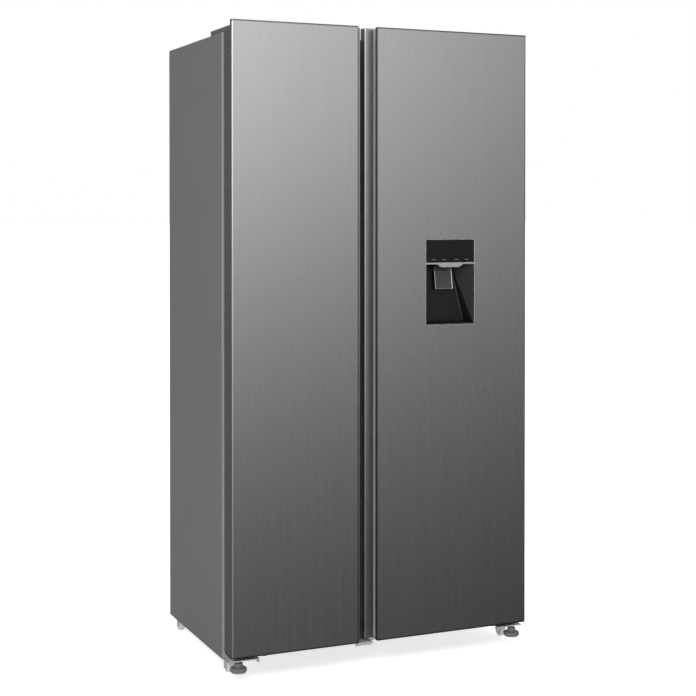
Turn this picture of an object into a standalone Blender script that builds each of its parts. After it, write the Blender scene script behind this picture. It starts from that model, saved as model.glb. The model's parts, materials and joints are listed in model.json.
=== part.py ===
"""Side by side refrigerator.

Metres, +Z up. The origin is on the floor under the middle of the object, +X is to the right and the
doors face -Y. Each door works in its own plan coordinates: u runs inwards from the outer side of the
cabinet, and v runs back from the front plane of the doors.
"""
import math

import bmesh
import bpy
from mathutils import Matrix, Vector

# Overall sizes
WIDTH = 0.897
DEPTH = 0.570
HEIGHT = 1.763
DOOR_BOTTOM = 0.064
SPLIT_X = -0.053
GAP = 0.0003

# Cabinet
TOP_STEP = 0.027
BOTTOM_STEP = 0.022
SHEET = 0.001
CASE_EDGE = 0.004
CASE_FLANGE = 0.042
MULLION_STRIP = 0.045
MULLION = 0.055
FREEZER_WALL = 0.058
FRIDGE_WALL = 0.048
TOP_WALL = 0.050
BACK_WALL = 0.050
FLOOR_WALL = 0.056
STEP_WALL = 0.046
LINER = 0.0015
LINER_LAP = 0.012
MACHINE_DEPTH = 0.160
MACHINE_CEILING = 0.230
COVER_SETBACK = 0.005
RIB = 0.008
FOAM_SETBACK = 0.005

# Doors
DOOR_THICK = 0.062
GASKET_GAP = 0.0137
DOOR_GAP = 0.012
HANDLE_OPENING = 0.0575
CHANNEL_DEPTH = 0.036
CHANNEL_UNDERCUT = 0.014
OVERHANG = 0.0115
HANDLE_WALL = 0.0015
HANDLE_FILLET = 0.003
SKIN = 0.001
SKIN_EDGE = 0.003
SKIN_HEM = 0.010
TOP_CAP = 0.046
BOTTOM_CAP = 0.020
RECESS_WIDTH = 0.095
RECESS_DEPTH = 0.0285
FRONT_LIP = 0.015
GASKET_INSET = 0.026
GASKET_EDGE = 0.001
GASKET_WIDTH = 0.0145
RIDGE_WIDTH = 0.020
RIDGE_HEIGHT = 0.035
RIDGE_CLEARANCE = 0.026
BIN_REACH = 0.105
BIN_WALL = 0.0025
BIN_CORNER = 0.018
SMALL_BIN_HEIGHT = 0.090
FREEZER_BIN_HEIGHT = 0.110
FRIDGE_BIN_HEIGHT = 0.130
FREEZER_BIN_UPPER = 1.20
FREEZER_BIN_LOWER = 0.62
FRIDGE_BIN_UPPER = 1.26
FRIDGE_BIN_LOWER = 0.56
GASKET_LIFT = 0.006
GASKET_DROP = 0.012
STOP_U = 0.092
STOP_WIDTH = 0.012
STOP_DROP = 0.006

# Hinges
PIVOT_U = 0.018
PIVOT_V = 0.040
PIN_RADIUS = 0.004
PIN_CLEARANCE = 0.0004
PIN_REACH = 0.014
PIN_BOSS = 0.0065
HINGE_PLATE = 0.003
HINGE_COVER_HEIGHT = 0.014
HINGE_COVER_BACK = 0.114
HINGE_NOSE = 0.0235
HINGE_COVER_WIDTH = 0.064
COVER_INSET = 0.004
COVER_WALL = 0.002
LOWER_PLATE_DROP = 0.013
LOWER_PLATE_FRONT = 0.014
LOWER_PLATE_U = 0.004
LOWER_PLATE_WIDTH = 0.078
HOOK_DROP = 0.008

# Feet and rollers
FOOT_U = 0.028
FOOT_V = 0.031
FOOT_RADIUS = 0.0225
FOOT_HEIGHT = 0.032
ROLLER_RADIUS = 0.018
ROLLER_WIDTH = 0.016
ROLLER_U = 0.024
ROLLER_FRONT_V = 0.100
ROLLER_REAR_INSET = 0.035
AXLE_RADIUS = 0.003
FORK_WALL = 0.002

# Water dispenser, its place in X counted from the middle of the fridge door's panel
DISPENSER_SHIFT = -0.009125
DISPENSER_WIDTH = 0.156
DISPENSER_HEIGHT = 0.242
DISPENSER_Z = 1.055
DISPENSER_RIM = 0.003
DISPENSER_DEPTH = 0.0552
DISPLAY_HEIGHT = 0.063
DISPLAY_THICK = 0.003
VISOR_HEIGHT = 0.005
PADDLE_SHIFT = -0.004
PADDLE_WIDTH = 0.055
PADDLE_HEIGHT = 0.062
PADDLE_WALL = 0.003
PADDLE_TOP_V = 0.042
PADDLE_LEAN = 0.010
PADDLE_CLEARANCE = 0.009
DISPENSER_CORNER = 0.005
RECESS_TOP_V = 0.052
RECESS_FLOOR_V = 0.042
RECESS_TAPER = 0.014
RECESS_SLANT = 0.048
SPOUT_RADIUS = 0.010
SPOUT_V = 0.024
SPOUT_DROP = 0.010
TANK_WALL = 0.0025
TANK_HALF_WIDTH = 0.110
TANK_Z = 0.92
TANK_HEIGHT = 0.18
TANK_MOUTH = 0.020

# Drawers and shelves
STORAGE_SETBACK = 0.185
SHELF_THICK = 0.012
SHELF_GAP = 0.0006
FREEZER_SHELF_UPPER = 0.950
FRIDGE_SHELF_MIDDLE = 0.820
FRIDGE_SHELF_UPPER = 1.200
DRAWER_WALL = 0.0025
DRAWER_SIDE_GAP = 0.004
DRAWER_HEIGHT = 0.160
DRAWER_SPACE = 0.010
DRAWER_CORNER = 0.012
DRAWER_LIFT = 0.008
DRAWER_HEADROOM = 0.016
GRIP_REACH = 0.012
GRIP_HEIGHT = 0.022

# Air ducts and fans
FREEZER_DUCT = 0.062
FRIDGE_DUCT = 0.030
DUCT_WALL = 0.002
SLOT_HEIGHT = 0.010
SLOT_BELOW = 0.030
SLOT_ABOVE = 0.250
DUCT_TOP_GAP = 0.020
FRIDGE_DUCT_HALF_WIDTH = 0.090
EVAPORATOR_DEPTH = 0.042
EVAPORATOR_LOW = 0.32
EVAPORATOR_HIGH = 0.52
EVAPORATOR_FAN_Z = 0.62
FIN_COUNT = 20
FIN_WALL = 0.0008
FIN_MARGIN = 0.012
FAN_RADIUS = 0.050
FAN_HUB = 0.016
FAN_WIDTH = 0.018
FAN_CLEARANCE = 0.003
FAN_BLADES = 5
FAN_BLADE_WALL = 0.0016
FAN_PITCH = 0.55

# Machine room
TRAY_UPSTAND = 0.025
VENT_ROWS = 3
VENT_COLUMNS = 10
VENT_X = -0.280
VENT_Z = 0.050
VENT_WIDTH = 0.040
VENT_HEIGHT = 0.008
VENT_PITCH_X = 0.060
VENT_PITCH_Z = 0.045
COMPRESSOR_RADIUS = 0.060
COMPRESSOR_HEIGHT = 0.155
COMPRESSOR_SEAM = 0.0715
COMPRESSOR_SEAM_WALL = 0.007
COMPRESSOR_LIFT = 0.012
COMPRESSOR_PLATE = 0.003
COMPRESSOR_FOOT = 0.016
COMPRESSOR_X = -0.250
CONDENSER_LOW_X = 0.030
CONDENSER_HIGH_X = 0.330
CONDENSER_ROWS = 7
CONDENSER_HEIGHT = 0.140
CONDENSER_TUBE = 0.0025
CONDENSER_LIFT = 0.012
SHROUD_X = -0.060
SHROUD_DEPTH = 0.036
SHROUD_FRAME = 0.008
SHROUD_BAR = 0.003
GLAND_RADIUS = 0.010
GLAND_BORE = 0.004
GLAND_LENGTH = 0.010
GLAND_FLANGE = 0.004
GLAND_STEP = 0.0015
GLAND_INSET = 0.0485
GLAND_Z = 0.150

HALF_WIDTH = WIDTH / 2
FRONT_Y = -DEPTH / 2
BACK_Y = DEPTH / 2
DOOR_REAR_Y = FRONT_Y + DOOR_THICK
CABINET_Y = DOOR_REAR_Y + GASKET_GAP
CABINET_TOP = HEIGHT - TOP_STEP
CABINET_BOTTOM = DOOR_BOTTOM - BOTTOM_STEP
CASE_BACK_Y = BACK_Y - SHEET - GAP
PAN_Z = CABINET_BOTTOM + SHEET
MACHINE_Y = BACK_Y - MACHINE_DEPTH
MACHINE_BACK_Y = BACK_Y - COVER_SETBACK - SHEET
CAVITY_FLOOR = CABINET_BOTTOM + FLOOR_WALL
CAVITY_TOP = CABINET_TOP - TOP_WALL
CAVITY_BACK_Y = CASE_BACK_Y - BACK_WALL
STEP_TOP = MACHINE_CEILING + STEP_WALL
STEP_Y = MACHINE_Y - STEP_WALL
RAIL_TOP = CAVITY_FLOOR - LINER_LAP - LINER - GAP
STORAGE_Y = FRONT_Y + STORAGE_SETBACK
UPPER_DRAWER_Z = STEP_TOP + DRAWER_LIFT
PIVOT_Y = FRONT_Y + PIVOT_V
ROLLER_FRONT_Y = FRONT_Y + ROLLER_FRONT_V
ROLLER_REAR_Y = BACK_Y - ROLLER_REAR_INSET
LOWEST_SHELF = UPPER_DRAWER_Z + DRAWER_HEIGHT + DRAWER_HEADROOM
LOWER_DRAWER_HEIGHT = UPPER_DRAWER_Z - RIB - DRAWER_HEADROOM - CAVITY_FLOOR
FREEZER_SHELVES = (LOWEST_SHELF, FREEZER_SHELF_UPPER)
FRIDGE_SHELVES = (LOWEST_SHELF, FRIDGE_SHELF_MIDDLE, FRIDGE_SHELF_UPPER)
FRIDGE_PANEL_MIDDLE = (HALF_WIDTH + SPLIT_X + HANDLE_OPENING / 2) / 2
DISPENSER_X = FRIDGE_PANEL_MIDDLE + DISPENSER_SHIFT
PADDLE_X = DISPENSER_X + PADDLE_SHIFT
GLAND_X = GLAND_INSET - HALF_WIDTH

LEFT = -1
RIGHT = 1
ROUND_STEPS = 20
SMALL_STEPS = 16

# Colour, roughness and metallic value of each finish
FINISHES = {
    "stainless": ((0.33, 0.33, 0.34), 0.34, 1.0),
    "grey_paint": ((0.13, 0.13, 0.13), 0.45, 0.0),
    "zinc": ((0.62, 0.63, 0.64), 0.38, 1.0),
    "dark_trim": ((0.10, 0.10, 0.105), 0.42, 0.0),
    "handle_metal": ((0.30, 0.30, 0.31), 0.30, 1.0),
    "black_plastic": ((0.02, 0.02, 0.022), 0.45, 0.0),
    "black_gloss": ((0.012, 0.012, 0.014), 0.10, 0.0),
    "smoke": ((0.06, 0.06, 0.065), 0.20, 0.0),
    "white_plastic": ((0.84, 0.85, 0.86), 0.40, 0.0),
    "grey_plastic": ((0.40, 0.41, 0.42), 0.45, 0.0),
    "roller_nylon": ((0.70, 0.70, 0.69), 0.50, 0.0),
    "clear_plastic": ((0.78, 0.84, 0.88), 0.12, 0.0),
    "foam": ((0.86, 0.78, 0.58), 0.90, 0.0),
    "gasket": ((0.20, 0.20, 0.205), 0.65, 0.0),
    "glass": ((0.70, 0.82, 0.80), 0.06, 0.0),
    "black_enamel": ((0.015, 0.015, 0.016), 0.35, 0.0),
    "aluminium": ((0.72, 0.73, 0.74), 0.35, 1.0),
}

# Each moving body's joint position; pieces of the cabinet stay at the origin
PIVOTS = {}


# ---------------------------------------------------------------- tools

def clear_scene():
    for obj in list(bpy.data.objects):
        bpy.data.objects.remove(obj, do_unlink=True)


def make_collection(name):
    collection = bpy.data.collections.new(name)
    bpy.context.scene.collection.children.link(collection)
    return collection


clear_scene()
PARTS = make_collection("side_by_side_refrigerator")
CUTTERS = make_collection("cutters")


def new_object(name, mesh, place=(0, 0, 0), turn=(0, 0, 0)):
    obj = bpy.data.objects.new(name, mesh)
    obj.location = place
    obj.rotation_euler = turn
    CUTTERS.objects.link(obj)
    return obj


def finish(obj, look, body="cabinet"):
    """Makes an object a part: its material, its collection and the joint that carries it."""
    colour, roughness, metallic = FINISHES[look]
    material = bpy.data.materials.new(obj.name)
    material.use_nodes = True
    shader = material.node_tree.nodes["Principled BSDF"]
    shader.inputs["Base Color"].default_value = (*colour, 1.0)
    shader.inputs["Roughness"].default_value = roughness
    shader.inputs["Metallic"].default_value = metallic
    obj.data.materials.clear()
    obj.data.materials.append(material)
    CUTTERS.objects.unlink(obj)
    PARTS.objects.link(obj)
    if body in PIVOTS:
        pivot = PIVOTS[body]
        obj.parent = pivot
        obj.location = obj.location - pivot.location
    return obj


def joint_axis(body, place):
    """An empty on a moving body's joint axis."""
    pivot = bpy.data.objects.new(body + "_axis", None)
    pivot.location = place
    PARTS.objects.link(pivot)
    PIVOTS[body] = pivot


def combine(obj, tool, operation):
    tool.hide_render = True
    tool.display_type = "WIRE"
    modifier = obj.modifiers.new(tool.name, "BOOLEAN")
    modifier.operation = operation
    modifier.solver = "EXACT"
    modifier.object = tool


def cut(obj, tool):
    combine(obj, tool, "DIFFERENCE")


def join(obj, tool):
    combine(obj, tool, "UNION")


def boxes(name, corners):
    """One mesh of separate boxes, each given by its low and high corner."""
    bm = bmesh.new()
    for low, high in corners:
        low = Vector(low)
        high = Vector(high)
        verts = bmesh.ops.create_cube(bm, size=1.0)["verts"]
        bmesh.ops.scale(bm, vec=high - low, verts=verts)
        bmesh.ops.translate(bm, vec=(low + high) / 2, verts=verts)
    mesh = bpy.data.meshes.new(name)
    bm.to_mesh(mesh)
    bm.free()
    return new_object(name, mesh)


def edge_side(edge):
    """Which side of a centred box an edge is on, such as (-1, -1, 0) for front left."""
    middle = (edge.verts[0].co + edge.verts[1].co) / 2
    return tuple(0 if abs(value) < 1e-7 else int(math.copysign(1, value)) for value in middle)


def box(name, low, high, radius=0.0, sides=None, segments=3):
    """A box, with the edges on the given sides rounded."""
    low = Vector(low)
    high = Vector(high)
    bm = bmesh.new()
    bmesh.ops.create_cube(bm, size=1.0)
    bmesh.ops.scale(bm, vec=high - low, verts=bm.verts)
    if radius > 0:
        chosen = [edge for edge in bm.edges if sides is None or edge_side(edge) in sides]
        bmesh.ops.bevel(bm, geom=chosen, offset=radius, offset_type="OFFSET", segments=segments,
                        profile=0.5, affect="EDGES")
    mesh = bpy.data.meshes.new(name)
    bm.to_mesh(mesh)
    bm.free()
    return new_object(name, mesh, (low + high) / 2)


UPRIGHT_EDGES = [(-1, -1, 0), (1, -1, 0), (-1, 1, 0), (1, 1, 0)]


def rounded(points, steps=4):
    """A polyline's points, with an arc at each corner given as (a, b, radius)."""
    result = []
    for index, point in enumerate(points):
        corner = Vector(point[:2])
        if len(point) == 2:
            result.append(tuple(corner))
            continue
        back = (Vector(points[index - 1][:2]) - corner).normalized()
        ahead = (Vector(points[(index + 1) % len(points)][:2]) - corner).normalized()
        opening = back.angle(ahead)
        reach = point[2] / math.tan(opening / 2)
        centre = corner + (back + ahead).normalized() * (point[2] / math.sin(opening / 2))
        start = corner + back * reach - centre
        end = corner + ahead * reach - centre
        sweep = math.pi - opening
        for step in range(steps + 1):
            part = step / steps
            spoke = (start * math.sin((1 - part) * sweep) + end * math.sin(part * sweep)) / math.sin(sweep)
            result.append(tuple(centre + spoke))
    return result


def band(path, thickness):
    """The closed outline of a bent sheet, which lies to the left of its path."""
    points = [Vector(point) for point in path]
    normals = []
    for first, second in zip(points, points[1:]):
        along = (second - first).normalized()
        normals.append(Vector((-along.y, along.x)))
    far_side = []
    for index, point in enumerate(points):
        before = normals[max(index - 1, 0)]
        after = normals[min(index, len(normals) - 1)]
        shift = (before + after) * (thickness / (1 + before.dot(after)))
        far_side.append(point + shift)
    return [tuple(point) for point in points] + [tuple(point) for point in reversed(far_side)]


PRISM_TURNS = {"X": (math.pi / 2, 0, math.pi / 2), "Y": (math.pi / 2, 0, 0), "Z": (0, 0, 0)}


def as_mesh(holder):
    """Turns a curve object into a mesh object with welded caps."""
    bpy.context.view_layer.update()
    evaluated = holder.evaluated_get(bpy.context.evaluated_depsgraph_get())
    mesh = bpy.data.meshes.new_from_object(evaluated)
    mesh.name = holder.name
    bm = bmesh.new()
    bm.from_mesh(mesh)
    bmesh.ops.remove_doubles(bm, verts=bm.verts, dist=1e-6)
    bmesh.ops.recalc_face_normals(bm, faces=bm.faces)
    bm.to_mesh(mesh)
    bm.free()
    name = holder.name
    place = holder.location.copy()
    turn = holder.rotation_euler.copy()
    bpy.data.objects.remove(holder, do_unlink=True)
    return new_object(name, mesh, place, turn)


def prism(name, outline, low, high, axis="Z"):
    """A flat outline extruded along an axis: (x, y) along Z, (y, z) along X or (x, z) along Y."""
    curve = bpy.data.curves.new(name, "CURVE")
    curve.dimensions = "2D"
    curve.fill_mode = "BOTH"
    curve.extrude = (high - low) / 2
    spline = curve.splines.new("POLY")
    spline.points.add(len(outline) - 1)
    for point, (a, b) in zip(spline.points, outline):
        point.co = (a, b, 0, 1)
    spline.use_cyclic_u = True
    middle = (low + high) / 2
    place = {"X": (middle, 0, 0), "Y": (0, middle, 0), "Z": (0, 0, middle)}[axis]
    return as_mesh(new_object(name, curve, place, PRISM_TURNS[axis]))


def turned(name, profile, place, axis="Z", steps=ROUND_STEPS, ring=False):
    """A turned solid from (radius, height) points, which run down its outer side."""
    bm = bmesh.new()
    verts = [bm.verts.new((radius, 0, height)) for radius, height in profile]
    for first, second in zip(verts, verts[1:]):
        bm.edges.new((first, second))
    if ring:
        bm.edges.new((verts[-1], verts[0]))
    mesh = bpy.data.meshes.new(name)
    bm.to_mesh(mesh)
    bm.free()
    turn = {"X": (0, math.pi / 2, 0), "Y": (-math.pi / 2, 0, 0), "Z": (0, 0, 0)}[axis]
    obj = new_object(name, mesh, place, turn)
    screw = obj.modifiers.new("turn", "SCREW")
    screw.axis = "Z"
    screw.angle = 2 * math.pi
    screw.steps = steps
    screw.render_steps = steps
    screw.use_merge_vertices = True
    screw.merge_threshold = 0.00001
    return obj


def rod(name, radius, length, place, axis="Z", steps=SMALL_STEPS):
    """A plain cylinder, centred at its place."""
    half = length / 2
    return turned(name, [(0, half), (radius, half), (radius, -half), (0, -half)], place, axis, steps)


def tube(name, points, radius, resolution=2):
    """A round tube along a list of points."""
    curve = bpy.data.curves.new(name, "CURVE")
    curve.dimensions = "3D"
    curve.bevel_depth = radius
    curve.bevel_resolution = resolution
    curve.use_fill_caps = True
    spline = curve.splines.new("POLY")
    spline.points.add(len(points) - 1)
    for point, place in zip(spline.points, points):
        point.co = (*place, 1)
    return as_mesh(new_object(name, curve))


def side_x(side, u):
    """The X of a plan distance u in from the outer side."""
    return side * (HALF_WIDTH - u)


def span_x(side, first, second):
    """The low and high X between two plan distances."""
    ends = (side_x(side, first), side_x(side, second))
    return min(ends), max(ends)


def plan(side, outline):
    """A door's (u, v) outline in (x, y)."""
    return [(side_x(side, u), FRONT_Y + v) for u, v in outline]


# ---------------------------------------------------------------- cabinet

def make_outer_case():
    front_edges = [(-1, -1, 0), (1, -1, 0), (0, -1, 1)]
    case = box("outer_case", (-HALF_WIDTH, CABINET_Y, CABINET_BOTTOM), (HALF_WIDTH, CASE_BACK_Y, CABINET_TOP),
               CASE_EDGE, front_edges)
    past = 0.05
    cut(case, box("case_inside", (-HALF_WIDTH + SHEET, CABINET_Y + SHEET, CABINET_BOTTOM - past),
                  (HALF_WIDTH - SHEET, CASE_BACK_Y + past, CABINET_TOP - SHEET),
                  CASE_EDGE - SHEET, front_edges))
    mouth_low = CABINET_BOTTOM - past
    mouth_high = CABINET_TOP - CASE_FLANGE
    mouths = []
    for side in (LEFT, RIGHT):
        inner = HALF_WIDTH - side * SPLIT_X - MULLION_STRIP / 2
        low_x, high_x = span_x(side, CASE_FLANGE, inner)
        mouths.append(((low_x, CABINET_Y - past, mouth_low), (high_x, CABINET_Y + CASE_EDGE, mouth_high)))
    cut(case, boxes("case_mouths", mouths))
    finish(case, "grey_paint")


def make_back_panel():
    panel = box("back_panel", (-HALF_WIDTH + SHEET, BACK_Y - SHEET, MACHINE_CEILING),
                (HALF_WIDTH - SHEET, BACK_Y, CABINET_TOP - SHEET))
    finish(panel, "zinc")


def make_base_pan():
    reach = HALF_WIDTH - SHEET - GAP
    rail_y = CABINET_Y + CASE_EDGE
    path = [(rail_y, RAIL_TOP), (rail_y, PAN_Z), (MACHINE_Y, PAN_Z), (MACHINE_Y, MACHINE_CEILING),
            (CASE_BACK_Y - GAP, MACHINE_CEILING)]
    pan = prism("base_pan", band(path, SHEET), -reach, reach, "X")
    for side, label in ((LEFT, "left"), (RIGHT, "right")):
        add_fork(pan, "front_fork_" + label, side, ROLLER_FRONT_Y, PAN_Z)
    finish(pan, "zinc")


def add_fork(carrier, name, side, y, top):
    """Two cheeks and the axle of a roller, joined under a sheet whose lower face is at top."""
    x = side_x(side, ROLLER_U)
    half = ROLLER_WIDTH / 2 + GAP * 2
    cheek_y = ROLLER_RADIUS * 0.6
    cheeks = []
    for direction in (-1, 1):
        inner = x + direction * half
        outer = inner + direction * FORK_WALL
        cheeks.append(((min(inner, outer), y - cheek_y, ROLLER_RADIUS * 0.55),
                       (max(inner, outer), y + cheek_y, top + SHEET / 2)))
    join(carrier, boxes(name, cheeks))
    join(carrier, rod(name + "_axle", AXLE_RADIUS, ROLLER_WIDTH + FORK_WALL * 2, (x, y, ROLLER_RADIUS), "X"))


def cavity_outline(grow, mouth_y):
    """The (y, z) outline of a food compartment from mouth_y back, grown on every other side."""
    return [(mouth_y, CAVITY_FLOOR - grow), (STEP_Y + grow, CAVITY_FLOOR - grow),
            (STEP_Y + grow, STEP_TOP - grow), (CAVITY_BACK_Y + grow, STEP_TOP - grow),
            (CAVITY_BACK_Y + grow, CAVITY_TOP + grow), (mouth_y, CAVITY_TOP + grow)]


def compartment(side):
    """The low and high X inside a compartment's liner."""
    wall = FREEZER_WALL if side == LEFT else FRIDGE_WALL
    return span_x(side, wall, HALF_WIDTH - side * SPLIT_X - MULLION / 2)


def make_foam():
    front_y = CABINET_Y + FOAM_SETBACK
    machine_y = MACHINE_Y - SHEET - GAP
    low_z = PAN_Z + SHEET + GAP
    ceiling = MACHINE_CEILING + SHEET + GAP
    back_y = CASE_BACK_Y - GAP
    top = CABINET_TOP - SHEET - GAP
    outline = [(front_y, low_z), (machine_y, low_z), (machine_y, ceiling), (back_y, ceiling),
               (back_y, top), (front_y, top)]
    reach = HALF_WIDTH - SHEET - GAP
    foam = prism("cabinet_foam", outline, -reach, reach, "X")
    skin = LINER + GAP
    for side, label in ((LEFT, "freezer"), (RIGHT, "fridge")):
        low_x, high_x = compartment(side)
        hollow = cavity_outline(skin, CABINET_Y - BACK_WALL)
        cut(foam, prism(label + "_hollow", hollow, low_x - skin, high_x + skin, "X"))
    finish(foam, "foam")


def make_liner(side, name, shelf_heights):
    low_x, high_x = compartment(side)
    flange_y = CABINET_Y + SHEET + GAP
    liner = prism(name, cavity_outline(LINER, flange_y), low_x - LINER, high_x + LINER, "X")
    outer_edge = side_x(side, CASE_FLANGE - LINER_LAP)
    inner_edge = side_x(side, HALF_WIDTH - side * SPLIT_X - MULLION / 2 + LINER_LAP)
    join(liner, box(name + "_flange",
                    (min(outer_edge, inner_edge), flange_y, CAVITY_FLOOR - LINER_LAP),
                    (max(outer_edge, inner_edge), flange_y + LINER, CABINET_TOP - CASE_FLANGE + LINER_LAP)))
    cut(liner, prism(name + "_inside", cavity_outline(0, CABINET_Y - BACK_WALL), low_x, high_x, "X"))
    ribs = []
    for height in [*shelf_heights, UPPER_DRAWER_Z]:
        for wall_x, inward in ((low_x, 1), (high_x, -1)):
            ends = (wall_x - inward * LINER / 2, wall_x + inward * RIB)
            ribs.append(((min(ends), STORAGE_Y + RIB, height - GAP - RIB),
                         (max(ends), CAVITY_BACK_Y - RIB, height - GAP)))
    join(liner, boxes(name + "_ribs", ribs))
    finish(liner, "white_plastic")


def make_duct_cover(side, name, half_width, depth, low_z, shelf_heights):
    low_x, high_x = compartment(side)
    middle = (low_x + high_x) / 2
    front_y = CAVITY_BACK_Y - depth
    path = [(middle - half_width, CAVITY_BACK_Y - GAP), (middle - half_width, front_y),
            (middle + half_width, front_y), (middle + half_width, CAVITY_BACK_Y - GAP)]
    cover = prism(name, band(path, DUCT_WALL), low_z, CAVITY_TOP - DUCT_TOP_GAP)
    slots = []
    below = [shelf - SLOT_BELOW for shelf in shelf_heights]
    above = [shelf + SLOT_ABOVE for shelf in shelf_heights]
    for height in below + above:
        slots.append(((middle - half_width * 0.6, front_y - DUCT_WALL, height),
                      (middle + half_width * 0.6, front_y + DUCT_WALL * 2, height + SLOT_HEIGHT)))
    cut(cover, boxes(name + "_slots", slots))
    return cover


def make_freezer_duct():
    low_x, high_x = compartment(LEFT)
    middle = (low_x + high_x) / 2
    half_width = (high_x - low_x) / 2 - RIB - GAP * 4
    cover = make_duct_cover(LEFT, "freezer_duct_cover", half_width, FREEZER_DUCT, STEP_TOP + GAP,
                            FREEZER_SHELVES)
    front_y = CAVITY_BACK_Y - FREEZER_DUCT
    fan_y = front_y + FREEZER_DUCT / 2
    motor = fan_y - FAN_WIDTH / 2 - GAP - front_y - DUCT_WALL / 2
    join(cover, rod("evaporator_motor", FAN_HUB * 0.9, motor,
                    (middle, front_y + DUCT_WALL / 2 + motor / 2, EVAPORATOR_FAN_Z), "Y"))
    finish(cover, "white_plastic")
    joint_axis("evaporator_fan", (middle, fan_y, EVAPORATOR_FAN_Z))
    make_fan("evaporator_fan", (middle, fan_y, EVAPORATOR_FAN_Z), "Y")

    fin_half = half_width - DUCT_WALL - FIN_MARGIN
    fins = []
    for index in range(FIN_COUNT):
        x = middle - fin_half + index * 2 * fin_half / (FIN_COUNT - 1)
        ends = (EVAPORATOR_LOW, EVAPORATOR_HIGH)
        if index % 2:
            ends = ends[::-1]
        fins += [(x, ends[0]), (x, ends[1])]
    middle_y = front_y + FREEZER_DUCT / 2
    coil = prism("evaporator", band(fins, FIN_WALL), middle_y - EVAPORATOR_DEPTH / 2,
                 middle_y + EVAPORATOR_DEPTH / 2, "Y")
    finish(coil, "aluminium")


def make_fridge_duct():
    cover = make_duct_cover(RIGHT, "fridge_duct_cover", FRIDGE_DUCT_HALF_WIDTH, FRIDGE_DUCT,
                            FRIDGE_SHELVES[0] + SHELF_THICK + GAP, FRIDGE_SHELVES)
    finish(cover, "white_plastic")


def make_fan(name, place, axis):
    hub = FAN_WIDTH / 2
    fan = turned(name, [(0, hub), (FAN_HUB * 0.8, hub), (FAN_HUB, hub * 0.7), (FAN_HUB, -hub), (0, -hub)],
                 place, axis, SMALL_STEPS)
    bm = bmesh.new()
    root = FAN_HUB * 0.88
    for index in range(FAN_BLADES):
        verts = bmesh.ops.create_cube(bm, size=1.0)["verts"]
        bmesh.ops.scale(bm, vec=(FAN_RADIUS - root, FAN_WIDTH, FAN_BLADE_WALL), verts=verts)
        bmesh.ops.rotate(bm, cent=(0, 0, 0), matrix=Matrix.Rotation(FAN_PITCH, 3, "X"), verts=verts)
        bmesh.ops.translate(bm, vec=((FAN_RADIUS + root) / 2, 0, 0), verts=verts)
        turn = Matrix.Rotation(index * 2 * math.pi / FAN_BLADES, 3, "Z")
        bmesh.ops.rotate(bm, cent=(0, 0, 0), matrix=turn, verts=verts)
    mesh = bpy.data.meshes.new(name + "_blades")
    bm.to_mesh(mesh)
    bm.free()
    join(fan, new_object(name + "_blades", mesh, fan.location, fan.rotation_euler))
    finish(fan, "black_plastic", name)


def make_shelves():
    levels = [(LEFT, "freezer_shelf_lower", FREEZER_SHELVES[0], FREEZER_DUCT),
              (LEFT, "freezer_shelf_upper", FREEZER_SHELVES[1], FREEZER_DUCT),
              (RIGHT, "fridge_shelf_lower", FRIDGE_SHELVES[0], FRIDGE_DUCT),
              (RIGHT, "fridge_shelf_middle", FRIDGE_SHELVES[1], FRIDGE_DUCT),
              (RIGHT, "fridge_shelf_upper", FRIDGE_SHELVES[2], FRIDGE_DUCT)]
    for side, name, height, duct in levels:
        low_x, high_x = compartment(side)
        back_y = CAVITY_BACK_Y - duct - DUCT_WALL
        shelf = box(name, (low_x + SHELF_GAP, STORAGE_Y, height),
                    (high_x - SHELF_GAP, back_y, height + SHELF_THICK))
        inset = SHELF_GAP + SHELF_THICK
        seat_low = (low_x + inset, STORAGE_Y + SHELF_THICK, height + SHELF_THICK / 2)
        seat_high = (high_x - inset, back_y - SHELF_THICK, height + SHELF_THICK * 2)
        cut(shelf, box(name + "_glass_seat", seat_low, seat_high))
        finish(shelf, "glass")


def make_drawer(side, name, low_z, height, back_y):
    joint_axis(name, (sum(compartment(side)) / 2, STORAGE_Y, low_z))
    low_x, high_x = compartment(side)
    low_x += DRAWER_SIDE_GAP
    high_x -= DRAWER_SIDE_GAP
    high_z = low_z + height
    drawer = box(name, (low_x, STORAGE_Y, low_z), (high_x, back_y, high_z), DRAWER_CORNER, UPRIGHT_EDGES, 2)
    cut(drawer, box(name + "_inside", (low_x + DRAWER_WALL, STORAGE_Y + DRAWER_WALL, low_z + DRAWER_WALL),
                    (high_x - DRAWER_WALL, back_y - DRAWER_WALL, high_z + DRAWER_WALL),
                    DRAWER_CORNER - DRAWER_WALL, UPRIGHT_EDGES, 2))
    grip = (high_x - low_x) * 0.25
    middle = (low_x + high_x) / 2
    join(drawer, box(name + "_grip", (middle - grip, STORAGE_Y - GRIP_REACH, high_z - GRIP_HEIGHT),
                     (middle + grip, STORAGE_Y + DRAWER_WALL / 2, high_z - DRAWER_WALL)))
    finish(drawer, "clear_plastic", name)


def make_drawers():
    lower_back = STEP_Y - DRAWER_SPACE
    make_drawer(LEFT, "freezer_drawer_lower", CAVITY_FLOOR + GAP, LOWER_DRAWER_HEIGHT, lower_back)
    make_drawer(RIGHT, "crisper_lower", CAVITY_FLOOR + GAP, LOWER_DRAWER_HEIGHT, lower_back)
    freezer_back = CAVITY_BACK_Y - FREEZER_DUCT - DUCT_WALL - DRAWER_SPACE
    make_drawer(LEFT, "freezer_drawer_upper", UPPER_DRAWER_Z, DRAWER_HEIGHT, freezer_back)
    make_drawer(RIGHT, "crisper_upper", UPPER_DRAWER_Z, DRAWER_HEIGHT, CAVITY_BACK_Y - DRAWER_SPACE)


# ---------------------------------------------------------------- machine room

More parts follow.
